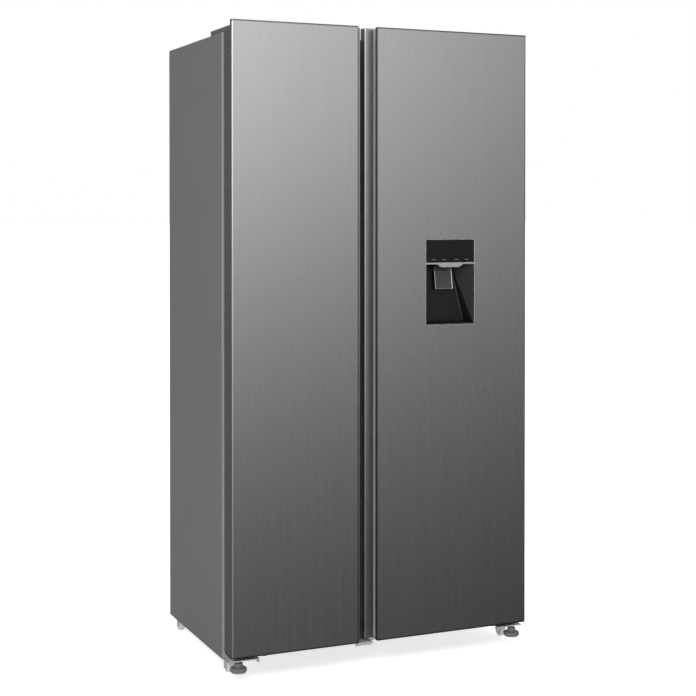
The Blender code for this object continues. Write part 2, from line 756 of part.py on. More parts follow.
def make_machine_room():
    reach = HALF_WIDTH - SHEET - GAP
    rim_z = PAN_Z + TRAY_UPSTAND
    path = [(-reach, rim_z), (-reach, PAN_Z), (reach, PAN_Z), (reach, rim_z)]
    tray = prism("compressor_base", band(path, SHEET), MACHINE_Y + GAP, MACHINE_BACK_Y - GAP, "Y")
    for side, label in ((LEFT, "left"), (RIGHT, "right")):
        add_fork(tray, "rear_fork_" + label, side, ROLLER_REAR_Y, PAN_Z)
    finish(tray, "zinc")

    cover = box("machine_cover", (-reach, MACHINE_BACK_Y, CABINET_BOTTOM + SHEET),
                (reach, MACHINE_BACK_Y + SHEET, MACHINE_CEILING - GAP))
    vents = []
    for row in range(VENT_ROWS):
        for column in range(VENT_COLUMNS):
            x = VENT_X + column * VENT_PITCH_X
            z = PAN_Z + VENT_Z + row * VENT_PITCH_Z
            vents.append(((x, MACHINE_BACK_Y - SHEET, z),
                          (x + VENT_WIDTH, MACHINE_BACK_Y + SHEET * 2, z + VENT_HEIGHT)))
    cut(cover, boxes("cover_vents", vents))
    cut(cover, rod("gland_hole", GLAND_RADIUS + GAP, SHEET * 20, (GLAND_X, MACHINE_BACK_Y, GLAND_Z), "Y"))
    finish(cover, "zinc")

    flange = GLAND_RADIUS + GLAND_FLANGE
    profile = [(GLAND_BORE, GLAND_FLANGE), (flange, GLAND_FLANGE), (flange, GLAND_STEP),
               (GLAND_RADIUS, GLAND_STEP), (GLAND_RADIUS, -GLAND_LENGTH), (GLAND_BORE, -GLAND_LENGTH)]
    gland = turned("cable_gland", profile, (GLAND_X, MACHINE_BACK_Y, GLAND_Z), "Y", SMALL_STEPS, ring=True)
    finish(gland, "black_plastic")

    floor = PAN_Z + SHEET + GAP
    middle_y = (MACHINE_Y + MACHINE_BACK_Y) / 2
    make_compressor(floor, middle_y)
    make_condenser(floor, middle_y)


def make_compressor(floor, middle_y):
    r = COMPRESSOR_RADIUS
    h = COMPRESSOR_HEIGHT
    base = floor + COMPRESSOR_LIFT
    seam_low = COMPRESSOR_SEAM - COMPRESSOR_SEAM_WALL / 2
    seam_high = COMPRESSOR_SEAM + COMPRESSOR_SEAM_WALL / 2
    dome = [(0, h), (r * 0.45, h * 0.97), (r * 0.80, h * 0.84), (r * 0.95, h * 0.65)]
    seam = [(r * 0.95, seam_high), (r, seam_high), (r, seam_low), (r * 0.95, seam_low)]
    bowl = [(r * 0.93, h * 0.19), (r * 0.75, h * 0.05), (0, 0)]
    pod = turned("compressor", dome + seam + bowl, (COMPRESSOR_X, middle_y, base))
    plate = COMPRESSOR_PLATE
    half = COMPRESSOR_FOOT / 2
    join(pod, box("compressor_plate", (COMPRESSOR_X - r * 1.35, middle_y - r * 0.85, base + plate),
                  (COMPRESSOR_X + r * 1.35, middle_y + r * 0.85, base + plate * 2)))
    feet = []
    for across in (-1, 1):
        for along in (-1, 1):
            x = COMPRESSOR_X + across * r * 1.15
            y = middle_y + along * r * 0.65
            feet.append(((x - half, y - half, floor), (x + half, y + half, base + plate * 1.5)))
    join(pod, boxes("compressor_feet", feet))
    finish(pod, "black_enamel")


def make_condenser(floor, middle_y):
    points = []
    pitch = CONDENSER_HEIGHT / (CONDENSER_ROWS - 1)
    bend = pitch / 2
    for row in range(CONDENSER_ROWS):
        z = floor + CONDENSER_LIFT + row * pitch
        ends = (CONDENSER_LOW_X, CONDENSER_HIGH_X)
        outward = 1
        if row % 2:
            ends = ends[::-1]
            outward = -1
        points += [(ends[0], middle_y, z), (ends[1], middle_y, z)]
        if row < CONDENSER_ROWS - 1:
            for step in (1, 2, 3):
                angle = -math.pi / 2 + step * math.pi / 4
                points.append((ends[1] + outward * bend * math.cos(angle), middle_y,
                               z + bend + bend * math.sin(angle)))
    coil = tube("condenser", points, CONDENSER_TUBE)
    finish(coil, "black_enamel")

    half = FAN_RADIUS + FAN_CLEARANCE + SHROUD_FRAME
    low_x = SHROUD_X - SHROUD_DEPTH / 2
    high_x = SHROUD_X + SHROUD_DEPTH / 2
    centre_z = floor + half
    shroud = box("condenser_shroud", (low_x, middle_y - half, floor),
                 (high_x, middle_y + half, floor + half * 2))
    cut(shroud, rod("shroud_mouth", FAN_RADIUS + FAN_CLEARANCE, SHROUD_DEPTH * 2,
                    (SHROUD_X, middle_y, centre_z), "X", ROUND_STEPS))
    bar = SHROUD_BAR
    join(shroud, box("shroud_bar", (low_x, middle_y - half + bar, centre_z - FAN_HUB * 0.6),
                     (low_x + bar, middle_y + half - bar, centre_z + FAN_HUB * 0.6)))
    motor = SHROUD_DEPTH / 2 - FAN_WIDTH / 2 - GAP - bar / 2
    motor_place = (low_x + bar / 2 + motor / 2, middle_y, centre_z)
    join(shroud, rod("condenser_motor", FAN_HUB * 0.9, motor, motor_place, "X"))
    finish(shroud, "black_plastic")
    joint_axis("condenser_fan", (SHROUD_X, middle_y, centre_z))
    make_fan("condenser_fan", (SHROUD_X, middle_y, centre_z), "X")


# ---------------------------------------------------------------- hinges, feet and rollers

def make_top_hinge(side, label):
    back_v = DOOR_THICK + GASKET_GAP + HINGE_COVER_BACK
    low_z = CABINET_TOP + GAP
    near = PIN_RADIUS + PIN_BOSS
    low_x, high_x = span_x(side, PIVOT_U - near, HINGE_COVER_WIDTH - COVER_WALL * 4)
    plate = box("top_hinge_" + label, (low_x, FRONT_Y + PIVOT_V - near, low_z),
                (high_x, FRONT_Y + back_v - COVER_WALL * 5, low_z + HINGE_PLATE), near / 2, UPRIGHT_EDGES)
    pin_low = HEIGHT - RECESS_DEPTH - PIN_REACH
    pin_high = low_z + HINGE_PLATE / 2
    join(plate, rod("top_pin_" + label, PIN_RADIUS, pin_high - pin_low,
                    (side_x(side, PIVOT_U), PIVOT_Y, (pin_high + pin_low) / 2)))
    finish(plate, "zinc")

    offset_u = COVER_INSET - PIVOT_U
    start = math.atan2(-math.sqrt(HINGE_NOSE ** 2 - offset_u ** 2), offset_u)
    outline = []
    for step in range(5):
        angle = start + (-math.pi / 2 - start) * step / 4
        outline.append((PIVOT_U + HINGE_NOSE * math.cos(angle), PIVOT_V + HINGE_NOSE * math.sin(angle)))
    corner = 0.008
    outline += rounded([outline[-1], (HINGE_COVER_WIDTH, PIVOT_V - HINGE_NOSE, corner),
                        (HINGE_COVER_WIDTH, back_v, corner), (COVER_INSET, back_v, COVER_WALL),
                        outline[0]])[1:-1]
    cover = prism("hinge_cover_" + label, plan(side, outline), low_z, low_z + HINGE_COVER_HEIGHT)
    low_x, high_x = span_x(side, COVER_INSET + COVER_WALL, HINGE_COVER_WIDTH - COVER_WALL)
    cut(cover, box("cover_inside_" + label, (low_x, PIVOT_Y - near - COVER_WALL * 2, low_z - COVER_WALL),
                   (high_x, FRONT_Y + back_v - COVER_WALL, low_z + HINGE_COVER_HEIGHT - COVER_WALL)))
    finish(cover, "dark_trim")


def make_bottom_hinge(side, label):
    low_z = DOOR_BOTTOM - LOWER_PLATE_DROP
    back_y = CABINET_Y - GAP
    path = [(FRONT_Y + LOWER_PLATE_FRONT, low_z), (back_y, low_z), (back_y, DOOR_BOTTOM + HINGE_PLATE / 2)]
    low_x, high_x = span_x(side, LOWER_PLATE_U, LOWER_PLATE_U + LOWER_PLATE_WIDTH)
    bracket = prism("bottom_hinge_" + label, band(path, HINGE_PLATE), low_x, high_x, "X")
    shoulder = PIN_RADIUS * 2
    pin_top = DOOR_BOTTOM + PIN_REACH
    seat_z = DOOR_BOTTOM - GAP
    pin_low = low_z + HINGE_PLATE / 2
    profile = [(0, pin_top), (PIN_RADIUS, pin_top), (PIN_RADIUS, seat_z), (shoulder, seat_z),
               (shoulder, pin_low), (0, pin_low)]
    pin_place = (side_x(side, PIVOT_U), PIVOT_Y, 0)
    join(bracket, turned("bottom_pin_" + label, profile, pin_place, "Z", SMALL_STEPS))
    hook_u = LOWER_PLATE_U + LOWER_PLATE_WIDTH
    low_x, high_x = span_x(side, hook_u - HINGE_PLATE, hook_u)
    join(bracket, box("hinge_hook_" + label, (low_x, FRONT_Y + LOWER_PLATE_FRONT, low_z - HOOK_DROP),
                      (high_x, FRONT_Y + LOWER_PLATE_FRONT + HOOK_DROP * 2, low_z + HINGE_PLATE / 2)))
    finish(bracket, "zinc")


def make_foot(side, label):
    name = "foot_" + label
    low_z = DOOR_BOTTOM - LOWER_PLATE_DROP - GAP - FOOT_HEIGHT
    place = (side_x(side, FOOT_U), FRONT_Y + FOOT_V, low_z)
    joint_axis(name, place)
    h = FOOT_HEIGHT
    r = FOOT_RADIUS
    profile = [(0, h), (r * 0.25, h), (r * 0.25, h * 0.80), (r * 0.52, h * 0.78), (r * 0.56, h * 0.46),
               (r * 0.95, h * 0.40), (r, h * 0.34), (r, h * 0.12), (r * 0.88, 0), (0, 0)]
    foot = turned(name, profile, place)
    finish(foot, "grey_plastic", name)


def make_roller(side, name, y):
    place = (side_x(side, ROLLER_U), y, ROLLER_RADIUS)
    joint_axis(name, place)
    half = ROLLER_WIDTH / 2
    edge = 0.002
    bore = AXLE_RADIUS + PIN_CLEARANCE
    profile = [(ROLLER_RADIUS - edge, half), (ROLLER_RADIUS, half - edge), (ROLLER_RADIUS, edge - half),
               (ROLLER_RADIUS - edge, -half), (bore, -half), (bore, half)]
    roller = turned(name, profile, place, "X", ROUND_STEPS, ring=True)
    finish(roller, "roller_nylon", name)


# ---------------------------------------------------------------- doors

def door_widths(side):
    """The widths of a door's front panel and of its whole body."""
    to_split = HALF_WIDTH - side * SPLIT_X
    return to_split - HANDLE_OPENING / 2, to_split - DOOR_GAP / 2


def filling_outline(side, rear_v):
    """What fits inside a door's skin and handle channel, back to rear_v."""
    panel, body = door_widths(side)
    skin = SKIN + GAP
    wall = HANDLE_WALL + GAP
    undercut = panel - CHANNEL_UNDERCUT - wall
    lip_v = OVERHANG - wall
    floor_v = CHANNEL_DEPTH + wall
    return rounded([(skin, rear_v), (skin, skin, SKIN_EDGE - skin), (panel - skin - wall, skin),
                    (panel - skin - wall, lip_v), (undercut, lip_v), (undercut, floor_v),
                    (body - wall, floor_v, HANDLE_FILLET - wall), (body - wall, rear_v)], 3)


def make_door(side, name):
    panel, body = door_widths(side)
    joint_axis(name, (side_x(side, PIVOT_U), PIVOT_Y, DOOR_BOTTOM))
    pivot_x = side_x(side, PIVOT_U)
    past = 0.01

    skin_path = rounded([(0, DOOR_THICK), (0, 0, SKIN_EDGE), (panel, 0, SKIN_EDGE / 2), (panel, SKIN_HEM)])
    skin = prism(name + "_panel", plan(side, band(skin_path, SKIN)), DOOR_BOTTOM, HEIGHT)
    low_x, high_x = span_x(side, -past, SKIN_EDGE)
    cut(skin, box(name + "_notch", (low_x, FRONT_Y + FRONT_LIP, HEIGHT - RECESS_DEPTH),
                  (high_x, DOOR_REAR_Y + past, HEIGHT + past)))

    channel_path = rounded([(panel - SKIN - GAP, SKIN_EDGE), (panel - SKIN - GAP, OVERHANG),
                            (panel - CHANNEL_UNDERCUT, OVERHANG),
                            (panel - CHANNEL_UNDERCUT, CHANNEL_DEPTH, HANDLE_FILLET),
                            (body, CHANNEL_DEPTH, HANDLE_FILLET), (body, DOOR_THICK)])
    channel = prism(name + "_handle", plan(side, band(channel_path, HANDLE_WALL)), DOOR_BOTTOM, HEIGHT)
    finish(channel, "handle_metal", name)

    cap_outline = plan(side, filling_outline(side, DOOR_THICK))
    top_cap = prism(name + "_top_cap", cap_outline, HEIGHT - TOP_CAP, HEIGHT)
    low_x, high_x = span_x(side, -past, RECESS_WIDTH)
    cut(top_cap, box(name + "_recess", (low_x, FRONT_Y + FRONT_LIP, HEIGHT - RECESS_DEPTH),
                     (high_x, DOOR_REAR_Y + past, HEIGHT + past)))
    hole_low = HEIGHT - RECESS_DEPTH - PIN_REACH - SHEET
    hole_high = HEIGHT + past
    cut(top_cap, rod(name + "_top_bush", PIN_RADIUS + PIN_CLEARANCE, hole_high - hole_low,
                     (pivot_x, PIVOT_Y, (hole_high + hole_low) / 2)))
    finish(top_cap, "dark_trim", name)

    bottom_cap = prism(name + "_bottom_cap", cap_outline, DOOR_BOTTOM, DOOR_BOTTOM + BOTTOM_CAP)
    hole_high = DOOR_BOTTOM + PIN_REACH + SHEET
    hole_low = DOOR_BOTTOM - past
    cut(bottom_cap, rod(name + "_bottom_bush", PIN_RADIUS + PIN_CLEARANCE, hole_high - hole_low,
                        (pivot_x, PIVOT_Y, (hole_high + hole_low) / 2)))
    low_x, high_x = span_x(side, STOP_U, STOP_U + STOP_WIDTH)
    join(bottom_cap, box(name + "_stop", (low_x, FRONT_Y + FRONT_LIP, DOOR_BOTTOM - STOP_DROP),
                         (high_x, FRONT_Y + FRONT_LIP + STOP_WIDTH, DOOR_BOTTOM + STOP_DROP)))
    finish(bottom_cap, "dark_trim", name)

    low_z = DOOR_BOTTOM + BOTTOM_CAP + GAP
    high_z = HEIGHT - TOP_CAP - GAP
    filling = plan(side, filling_outline(side, DOOR_THICK - LINER - GAP))
    foam = prism(name + "_foam", filling, low_z, high_z)
    if side == RIGHT:
        cut_dispenser_hole(skin, foam)
    finish(skin, "stainless", name)
    finish(foam, "foam", name)
    make_door_liner(side, name, low_z, high_z)
    make_gasket(side, name)


def ridge_span(side):
    """The plan distances between which a door's inner ridge lies."""
    wall = FREEZER_WALL if side == LEFT else FRIDGE_WALL
    far_wall = HALF_WIDTH - side * SPLIT_X - MULLION / 2
    return wall + DRAWER_SPACE, far_wall - RIDGE_CLEARANCE


def make_door_liner(side, name, low_z, high_z):
    body = door_widths(side)[1]
    low_x, high_x = span_x(side, SKIN + GAP, body - HANDLE_WALL - GAP)
    liner = box(name + "_liner", (low_x, DOOR_REAR_Y - LINER, low_z), (high_x, DOOR_REAR_Y, high_z))
    outer, inner = ridge_span(side)
    low_x, high_x = span_x(side, outer, inner)
    ridge_low = CAVITY_FLOOR + DRAWER_SPACE
    ridge_high = CAVITY_TOP - DRAWER_SPACE
    ridge_y = DOOR_REAR_Y + RIDGE_HEIGHT
    join(liner, box(name + "_ridge", (low_x, DOOR_REAR_Y - LINER / 2, ridge_low),
                    (high_x, ridge_y, ridge_high), RIDGE_WIDTH / 3, [(-1, 1, 0), (1, 1, 0)], 2))
    cut(liner, box(name + "_hollow", (low_x + RIDGE_WIDTH, DOOR_REAR_Y, ridge_low + RIDGE_WIDTH),
                   (high_x - RIDGE_WIDTH, ridge_y + RIDGE_WIDTH, ridge_high - RIDGE_WIDTH)))
    finish(liner, "white_plastic", name)


def make_gasket(side, name):
    body = door_widths(side)[1]
    low_x, high_x = span_x(side, GASKET_INSET, body - GASKET_EDGE)
    low_y = DOOR_REAR_Y + GAP
    high_y = CABINET_Y - GAP
    low_z = DOOR_BOTTOM + GASKET_LIFT
    high_z = CABINET_TOP - GASKET_DROP
    ring = box(name + "_gasket", (low_x, low_y, low_z), (high_x, high_y, high_z))
    cut(ring, box(name + "_gasket_mouth", (low_x + GASKET_WIDTH, low_y - GASKET_GAP, low_z + GASKET_WIDTH),
                  (high_x - GASKET_WIDTH, high_y + GASKET_GAP, high_z - GASKET_WIDTH)))
    finish(ring, "gasket", name)


def make_bin(side, body, name, low_z, height):
    outer, inner = ridge_span(side)
    seat = RIDGE_WIDTH + GAP
    low_x, high_x = span_x(side, outer + seat, inner - seat)
    low_y = DOOR_REAR_Y + GAP
    high_y = DOOR_REAR_Y + BIN_REACH
    corners = [(-1, 1, 0), (1, 1, 0)]
    tray = box(name, (low_x, low_y, low_z), (high_x, high_y, low_z + height), BIN_CORNER, corners)
    cut(tray, box(name + "_inside", (low_x + BIN_WALL, low_y + BIN_WALL, low_z + BIN_WALL),
                  (high_x - BIN_WALL, high_y - BIN_WALL, low_z + height + BIN_WALL),
                  BIN_CORNER - BIN_WALL, corners))
    finish(tray, "clear_plastic", body)


# ---------------------------------------------------------------- water dispenser

def dispenser_box(grow):
    """The low and high corners in X and Z of the dispenser, grown on every side."""
    half = DISPENSER_WIDTH / 2 + grow
    high_z = DISPENSER_Z + DISPENSER_HEIGHT / 2 + grow
    low_z = DISPENSER_Z - DISPENSER_HEIGHT / 2 - grow
    return DISPENSER_X - half, DISPENSER_X + half, low_z, high_z


def cut_dispenser_hole(skin, foam):
    low_x, high_x, low_z, high_z = dispenser_box(GAP)
    back_y = FRONT_Y + DISPENSER_DEPTH + GAP
    corners = [(-1, 0, -1), (1, 0, -1), (-1, 0, 1), (1, 0, 1)]
    cut(skin, box("dispenser_hole", (low_x, FRONT_Y - SKIN_EDGE, low_z),
                  (high_x, FRONT_Y + SKIN_EDGE, high_z), DISPENSER_CORNER, corners))
    cut(foam, box("dispenser_pocket", (low_x, FRONT_Y - SKIN_EDGE, low_z), (high_x, back_y, high_z)))


def make_dispenser():
    body = "fridge_door"
    low_x, high_x, low_z, high_z = dispenser_box(0)
    front_y = FRONT_Y + GAP
    corners = [(-1, 0, -1), (1, 0, -1), (-1, 0, 1), (1, 0, 1)]
    housing = box("dispenser_housing", (low_x, front_y, low_z), (high_x, FRONT_Y + DISPENSER_DEPTH, high_z),
                  DISPENSER_CORNER, corners)

    mouth_top = high_z - DISPENSER_RIM - DISPLAY_HEIGHT - VISOR_HEIGHT
    seat_y = front_y + DISPLAY_THICK + GAP
    cut(housing, box("display_seat", (low_x + DISPENSER_RIM, front_y - DISPLAY_THICK, mouth_top - GAP),
                     (high_x - DISPENSER_RIM, seat_y, high_z - DISPENSER_RIM)))
    cut(housing, make_recess_cutter(low_x, high_x, low_z, mouth_top))
    spout_top = mouth_top + SPOUT_RADIUS
    spout_low = mouth_top - SPOUT_DROP
    join(housing, rod("dispenser_spout", SPOUT_RADIUS, spout_top - spout_low,
                      (PADDLE_X, FRONT_Y + SPOUT_V, (spout_top + spout_low) / 2)))
    finish(housing, "black_plastic", body)

    display_low = mouth_top + VISOR_HEIGHT
    display = box("dispenser_display", (low_x + DISPENSER_RIM + GAP, front_y, display_low + GAP),
                  (high_x - DISPENSER_RIM - GAP, front_y + DISPLAY_THICK, high_z - DISPENSER_RIM - GAP))
    finish(display, "black_gloss", body)

    make_paddle(mouth_top)
    make_tank()


def make_recess_cutter(low_x, high_x, low_z, mouth_top):
    """The hollow of the dispenser, narrower and shallower towards the back and the floor."""
    front_y = FRONT_Y - SKIN_EDGE
    top_y = FRONT_Y + RECESS_TOP_V
    floor_y = FRONT_Y + RECESS_FLOOR_V
    rim = DISPENSER_RIM
    corners = {
        (-1, -1, -1): (low_x + rim, front_y, low_z + rim),
        (1, -1, -1): (high_x - rim, front_y, low_z + rim),
        (-1, -1, 1): (low_x + rim, front_y, mouth_top),
        (1, -1, 1): (high_x - rim, front_y, mouth_top),
        (-1, 1, -1): (low_x + rim + RECESS_TAPER, floor_y, low_z + rim * 3),
        (1, 1, -1): (high_x - rim - RECESS_TAPER, floor_y, low_z + rim * 3),
        (-1, 1, 1): (low_x + rim + RECESS_TAPER * 1.4, top_y, mouth_top - rim),
        (1, 1, 1): (high_x - rim - RECESS_SLANT, top_y, mouth_top - rim),
    }
    bm = bmesh.new()
    bmesh.ops.create_cube(bm, size=2.0)
    for vert in bm.verts:
        vert.co = corners[tuple(round(value) for value in vert.co)]
    mesh = bpy.data.meshes.new("dispenser_recess")
    bm.to_mesh(mesh)
    bm.free()
    return new_object("dispenser_recess", mesh)


def make_paddle(mouth_top):
    name = "dispenser_paddle"
    top_y = FRONT_Y + PADDLE_TOP_V
    top_z = mouth_top - PADDLE_CLEARANCE
    joint_axis(name, (PADDLE_X, top_y, top_z))
    half = PADDLE_WALL / 2
    lean = math.atan2(PADDLE_LEAN, PADDLE_HEIGHT)
    outline = band([(top_y - half, top_z), (top_y - half - PADDLE_LEAN, top_z - PADDLE_HEIGHT)],
                   PADDLE_WALL * math.cos(lean))
    paddle = prism(name, outline, PADDLE_X - PADDLE_WIDTH / 2, PADDLE_X + PADDLE_WIDTH / 2, "X")
    axle = PADDLE_WIDTH + PADDLE_WALL * 2
    join(paddle, rod("paddle_axle", PADDLE_WALL, axle, (PADDLE_X, top_y, top_z), "X", SMALL_STEPS))
    finish(paddle, "smoke", name)


def make_tank():
    low_y = DOOR_REAR_Y + GAP
    high_y = DOOR_REAR_Y + BIN_REACH - RIB
    middle = sum(span_x(RIGHT, *ridge_span(RIGHT))) / 2
    low = (middle - TANK_HALF_WIDTH, low_y, TANK_Z)
    high = (middle + TANK_HALF_WIDTH, high_y, TANK_Z + TANK_HEIGHT)
    tank = box("water_tank", low, high, BIN_CORNER, UPRIGHT_EDGES)
    wall = Vector((TANK_WALL, TANK_WALL, TANK_WALL))
    cut(tank, box("tank_inside", Vector(low) + wall, Vector(high) - wall,
                  BIN_CORNER - TANK_WALL, UPRIGHT_EDGES))
    cut(tank, rod("tank_mouth", TANK_MOUTH, TANK_WALL * 6, (middle, (low_y + high_y) / 2, high[2])))
    finish(tank, "clear_plastic", "fridge_door")


# ---------------------------------------------------------------- build

make_outer_case()
make_back_panel()
make_base_pan()
make_foam()
make_liner(LEFT, "freezer_liner", FREEZER_SHELVES)
make_liner(RIGHT, "fridge_liner", FRIDGE_SHELVES)
make_freezer_duct()
make_fridge_duct()
make_shelves()
make_drawers()
make_machine_room()
for hinge_side, hinge_label in ((LEFT, "left"), (RIGHT, "right")):
    make_top_hinge(hinge_side, hinge_label)
    make_bottom_hinge(hinge_side, hinge_label)
    make_foot(hinge_side, hinge_label)
    make_roller(hinge_side, "roller_front_" + hinge_label, ROLLER_FRONT_Y)
    make_roller(hinge_side, "roller_rear_" + hinge_label, ROLLER_REAR_Y)
make_door(LEFT, "freezer_door")
make_door(RIGHT, "fridge_door")
make_bin(LEFT, "freezer_door", "freezer_bin_upper", FREEZER_BIN_UPPER, SMALL_BIN_HEIGHT)
make_bin(LEFT, "freezer_door", "freezer_bin_lower", FREEZER_BIN_LOWER, FREEZER_BIN_HEIGHT)
make_bin(RIGHT, "fridge_door", "fridge_bin_upper", FRIDGE_BIN_UPPER, SMALL_BIN_HEIGHT)
make_bin(RIGHT, "fridge_door", "fridge_bin_lower", FRIDGE_BIN_LOWER, FRIDGE_BIN_HEIGHT)
make_dispenser()
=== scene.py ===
"""The looks of a side by side refrigerator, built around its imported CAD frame.

Metres, +Z up, with the doors facing -Y.
"""
import json
import math

import bmesh
import bpy
from mathutils import Matrix, Vector


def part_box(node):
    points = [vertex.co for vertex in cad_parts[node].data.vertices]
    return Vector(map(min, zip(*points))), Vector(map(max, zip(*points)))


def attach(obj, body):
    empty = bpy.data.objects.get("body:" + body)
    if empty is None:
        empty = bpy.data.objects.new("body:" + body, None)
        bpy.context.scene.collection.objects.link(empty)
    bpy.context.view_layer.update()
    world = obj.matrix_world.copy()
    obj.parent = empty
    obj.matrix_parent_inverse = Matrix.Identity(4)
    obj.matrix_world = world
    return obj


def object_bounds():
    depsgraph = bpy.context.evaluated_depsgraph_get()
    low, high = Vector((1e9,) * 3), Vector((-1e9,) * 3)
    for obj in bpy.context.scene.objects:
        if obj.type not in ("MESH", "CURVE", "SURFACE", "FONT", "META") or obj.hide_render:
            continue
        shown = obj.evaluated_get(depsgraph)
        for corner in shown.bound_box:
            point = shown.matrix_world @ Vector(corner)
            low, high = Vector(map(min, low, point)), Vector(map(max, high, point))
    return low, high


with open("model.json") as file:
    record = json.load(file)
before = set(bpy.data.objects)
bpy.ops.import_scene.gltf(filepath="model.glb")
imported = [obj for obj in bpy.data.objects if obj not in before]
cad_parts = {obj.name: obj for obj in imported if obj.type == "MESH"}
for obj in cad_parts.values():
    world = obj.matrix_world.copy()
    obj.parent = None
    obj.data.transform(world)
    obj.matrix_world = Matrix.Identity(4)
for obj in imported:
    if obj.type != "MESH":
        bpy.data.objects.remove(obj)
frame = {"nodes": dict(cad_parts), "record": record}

cad_box = [list(corner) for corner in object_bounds()]
scene = bpy.context.scene
FLOOR_Z = cad_box[0][2]
OPENINGS = frame["record"]["physics"]["openings"]
UPPER_SPACES = [row["box_m"] for row in OPENINGS if "space_upper" in row["name"]]
SPACE_CLEARANCE = 0.002
LINER_CEILING = UPPER_SPACES[0][1][2] + SPACE_CLEARANCE
DOOR_FRONT = cad_box[0][1]


# ---------------------------------------------------------------- camera, light and floor

CAMERA_PLACE = (-1.7141, -3.922, 1.2453)
CAMERA_TILT = 89.323
CAMERA_TURN = -23.759
CAMERA_LENS = 75.07
CAMERA_SHIFT = -0.1669

# How bright the studio is in a reflection, by the sine of the elevation and by the azimuth in turns
SKY_BY_HEIGHT = [(-1.0, 0.06), (-0.40, 0.07), (-0.286, 0.090), (-0.252, 0.110), (-0.181, 0.190),
                 (-0.070, 0.41), (0.043, 0.83), (0.122, 1.15), (0.30, 1.20), (0.55, 0.30), (1.0, 0.22)]
SKY_BY_AZIMUTH = [(0.0, 1.3), (0.05, 2.0), (0.20, 2.0), (0.26, 1.75), (0.30, 1.15), (0.33, 0.54),
                  (0.36, 0.16), (0.42, 0.08), (0.58, 0.10), (0.66, 0.50), (0.70, 0.50), (0.76, 0.0),
                  (0.88, 0.0), (0.95, 0.7), (1.0, 1.3)]
# An even glow added by azimuth alone, which is what the sides of the cabinet and doors reflect
GLOW_BY_AZIMUTH = [(0.0, 0.20), (0.20, 0.20), (0.27, 0.0), (0.60, 0.0), (0.70, 0.10),
                   (0.76, 0.13), (0.88, 0.13), (0.95, 0.17), (1.0, 0.20)]
# The light that falls on the object from above and from below the horizon
SOFT_ABOVE = 1.0
SOFT_BELOW = 0.55
SOFT_RISE = 0.2
FLOOR_GLOW = 0.55
FLOOR_HALF = 200.0
FLOOR_GAP = 0.0005
# Each light's place, the point it aims at, its size and its power
KEY_LIGHT = ((-2.6, -3.4, 3.6), (0, 0, 0.9), 2.6, 60.0)
TOP_LIGHT = ((0.4, -0.6, 4.5), (0, 0, 0), 4.0, 90.0)


def make_camera():
    data = bpy.data.cameras.new("camera")
    data.lens = CAMERA_LENS
    data.sensor_width = 36.0
    data.shift_y = CAMERA_SHIFT
    camera = bpy.data.objects.new("camera", data)
    camera.location = CAMERA_PLACE
    camera.rotation_euler = (math.radians(CAMERA_TILT), 0, math.radians(CAMERA_TURN))
    scene.collection.objects.link(camera)
    scene.camera = camera
    scene.view_settings.view_transform = "Standard"


def make_ramp(nodes, stops, low, high):
    """A colour ramp with a grey at each stop, where the stops run from low to high."""
    ramp = nodes.new("ShaderNodeValToRGB")
    elements = ramp.color_ramp.elements
    while len(elements) > 1:
        elements.remove(elements[-1])
    for index, (place, value) in enumerate(stops):
        position = (place - low) / (high - low)
        element = elements[0] if index == 0 else elements.new(position)
        element.position = position
        element.color = (value, value, value, 1.0)
    return ramp


def make_world():
    world = bpy.data.worlds.new("studio")
    scene.world = world
    world.use_nodes = True
    nodes = world.node_tree.nodes
    links = world.node_tree.links
    background = nodes["Background"]
    direction = nodes.new("ShaderNodeTexCoord").outputs["Generated"]

    split = nodes.new("ShaderNodeSeparateXYZ")
    links.new(direction, split.inputs[0])
    spread = nodes.new("ShaderNodeMapRange")
    spread.inputs["From Min"].default_value = -1.0
    links.new(split.outputs["Z"], spread.inputs["Value"])
    by_height = make_ramp(nodes, SKY_BY_HEIGHT, -1.0, 1.0)
    links.new(spread.outputs[0], by_height.inputs[0])

    turn = nodes.new("ShaderNodeTexGradient")
    turn.gradient_type = "RADIAL"
    links.new(direction, turn.inputs[0])
    by_azimuth = make_ramp(nodes, SKY_BY_AZIMUTH, 0.0, 1.0)
    links.new(turn.outputs["Fac"], by_azimuth.inputs[0])

    glow = make_ramp(nodes, GLOW_BY_AZIMUTH, 0.0, 1.0)
    links.new(turn.outputs["Fac"], glow.inputs[0])

    product = nodes.new("ShaderNodeVectorMath")
    product.operation = "MULTIPLY_ADD"
    links.new(by_height.outputs["Color"], product.inputs[0])
    links.new(by_azimuth.outputs["Color"], product.inputs[1])
    links.new(glow.outputs["Color"], product.inputs[2])

    soft_stops = [(-1.0, SOFT_BELOW), (0.0, SOFT_BELOW), (SOFT_RISE, SOFT_ABOVE), (1.0, SOFT_ABOVE)]
    soft = make_ramp(nodes, soft_stops, -1.0, 1.0)
    links.new(spread.outputs[0], soft.inputs[0])

    rays = nodes.new("ShaderNodeLightPath")
    glossy = nodes.new("ShaderNodeMix")
    glossy.data_type = "RGBA"
    links.new(rays.outputs["Is Glossy Ray"], glossy.inputs["Factor"])
    links.new(soft.outputs["Color"], glossy.inputs[6])
    links.new(product.outputs[0], glossy.inputs[7])
    seen = nodes.new("ShaderNodeMix")
    seen.data_type = "RGBA"
    links.new(rays.outputs["Is Camera Ray"], seen.inputs["Factor"])
    links.new(glossy.outputs[2], seen.inputs[6])
    seen.inputs[7].default_value = (1, 1, 1, 1)
    links.new(seen.outputs[2], background.inputs["Color"])


def make_area_light(name, place, aim, size, energy):
    data = bpy.data.lights.new(name, "AREA")
    data.shape = "DISK"
    data.size = size
    data.energy = energy
    light = bpy.data.objects.new(name, data)
    light.location = place
    light.rotation_euler = (Vector(aim) - Vector(place)).to_track_quat("-Z", "Y").to_euler()
    scene.collection.objects.link(light)


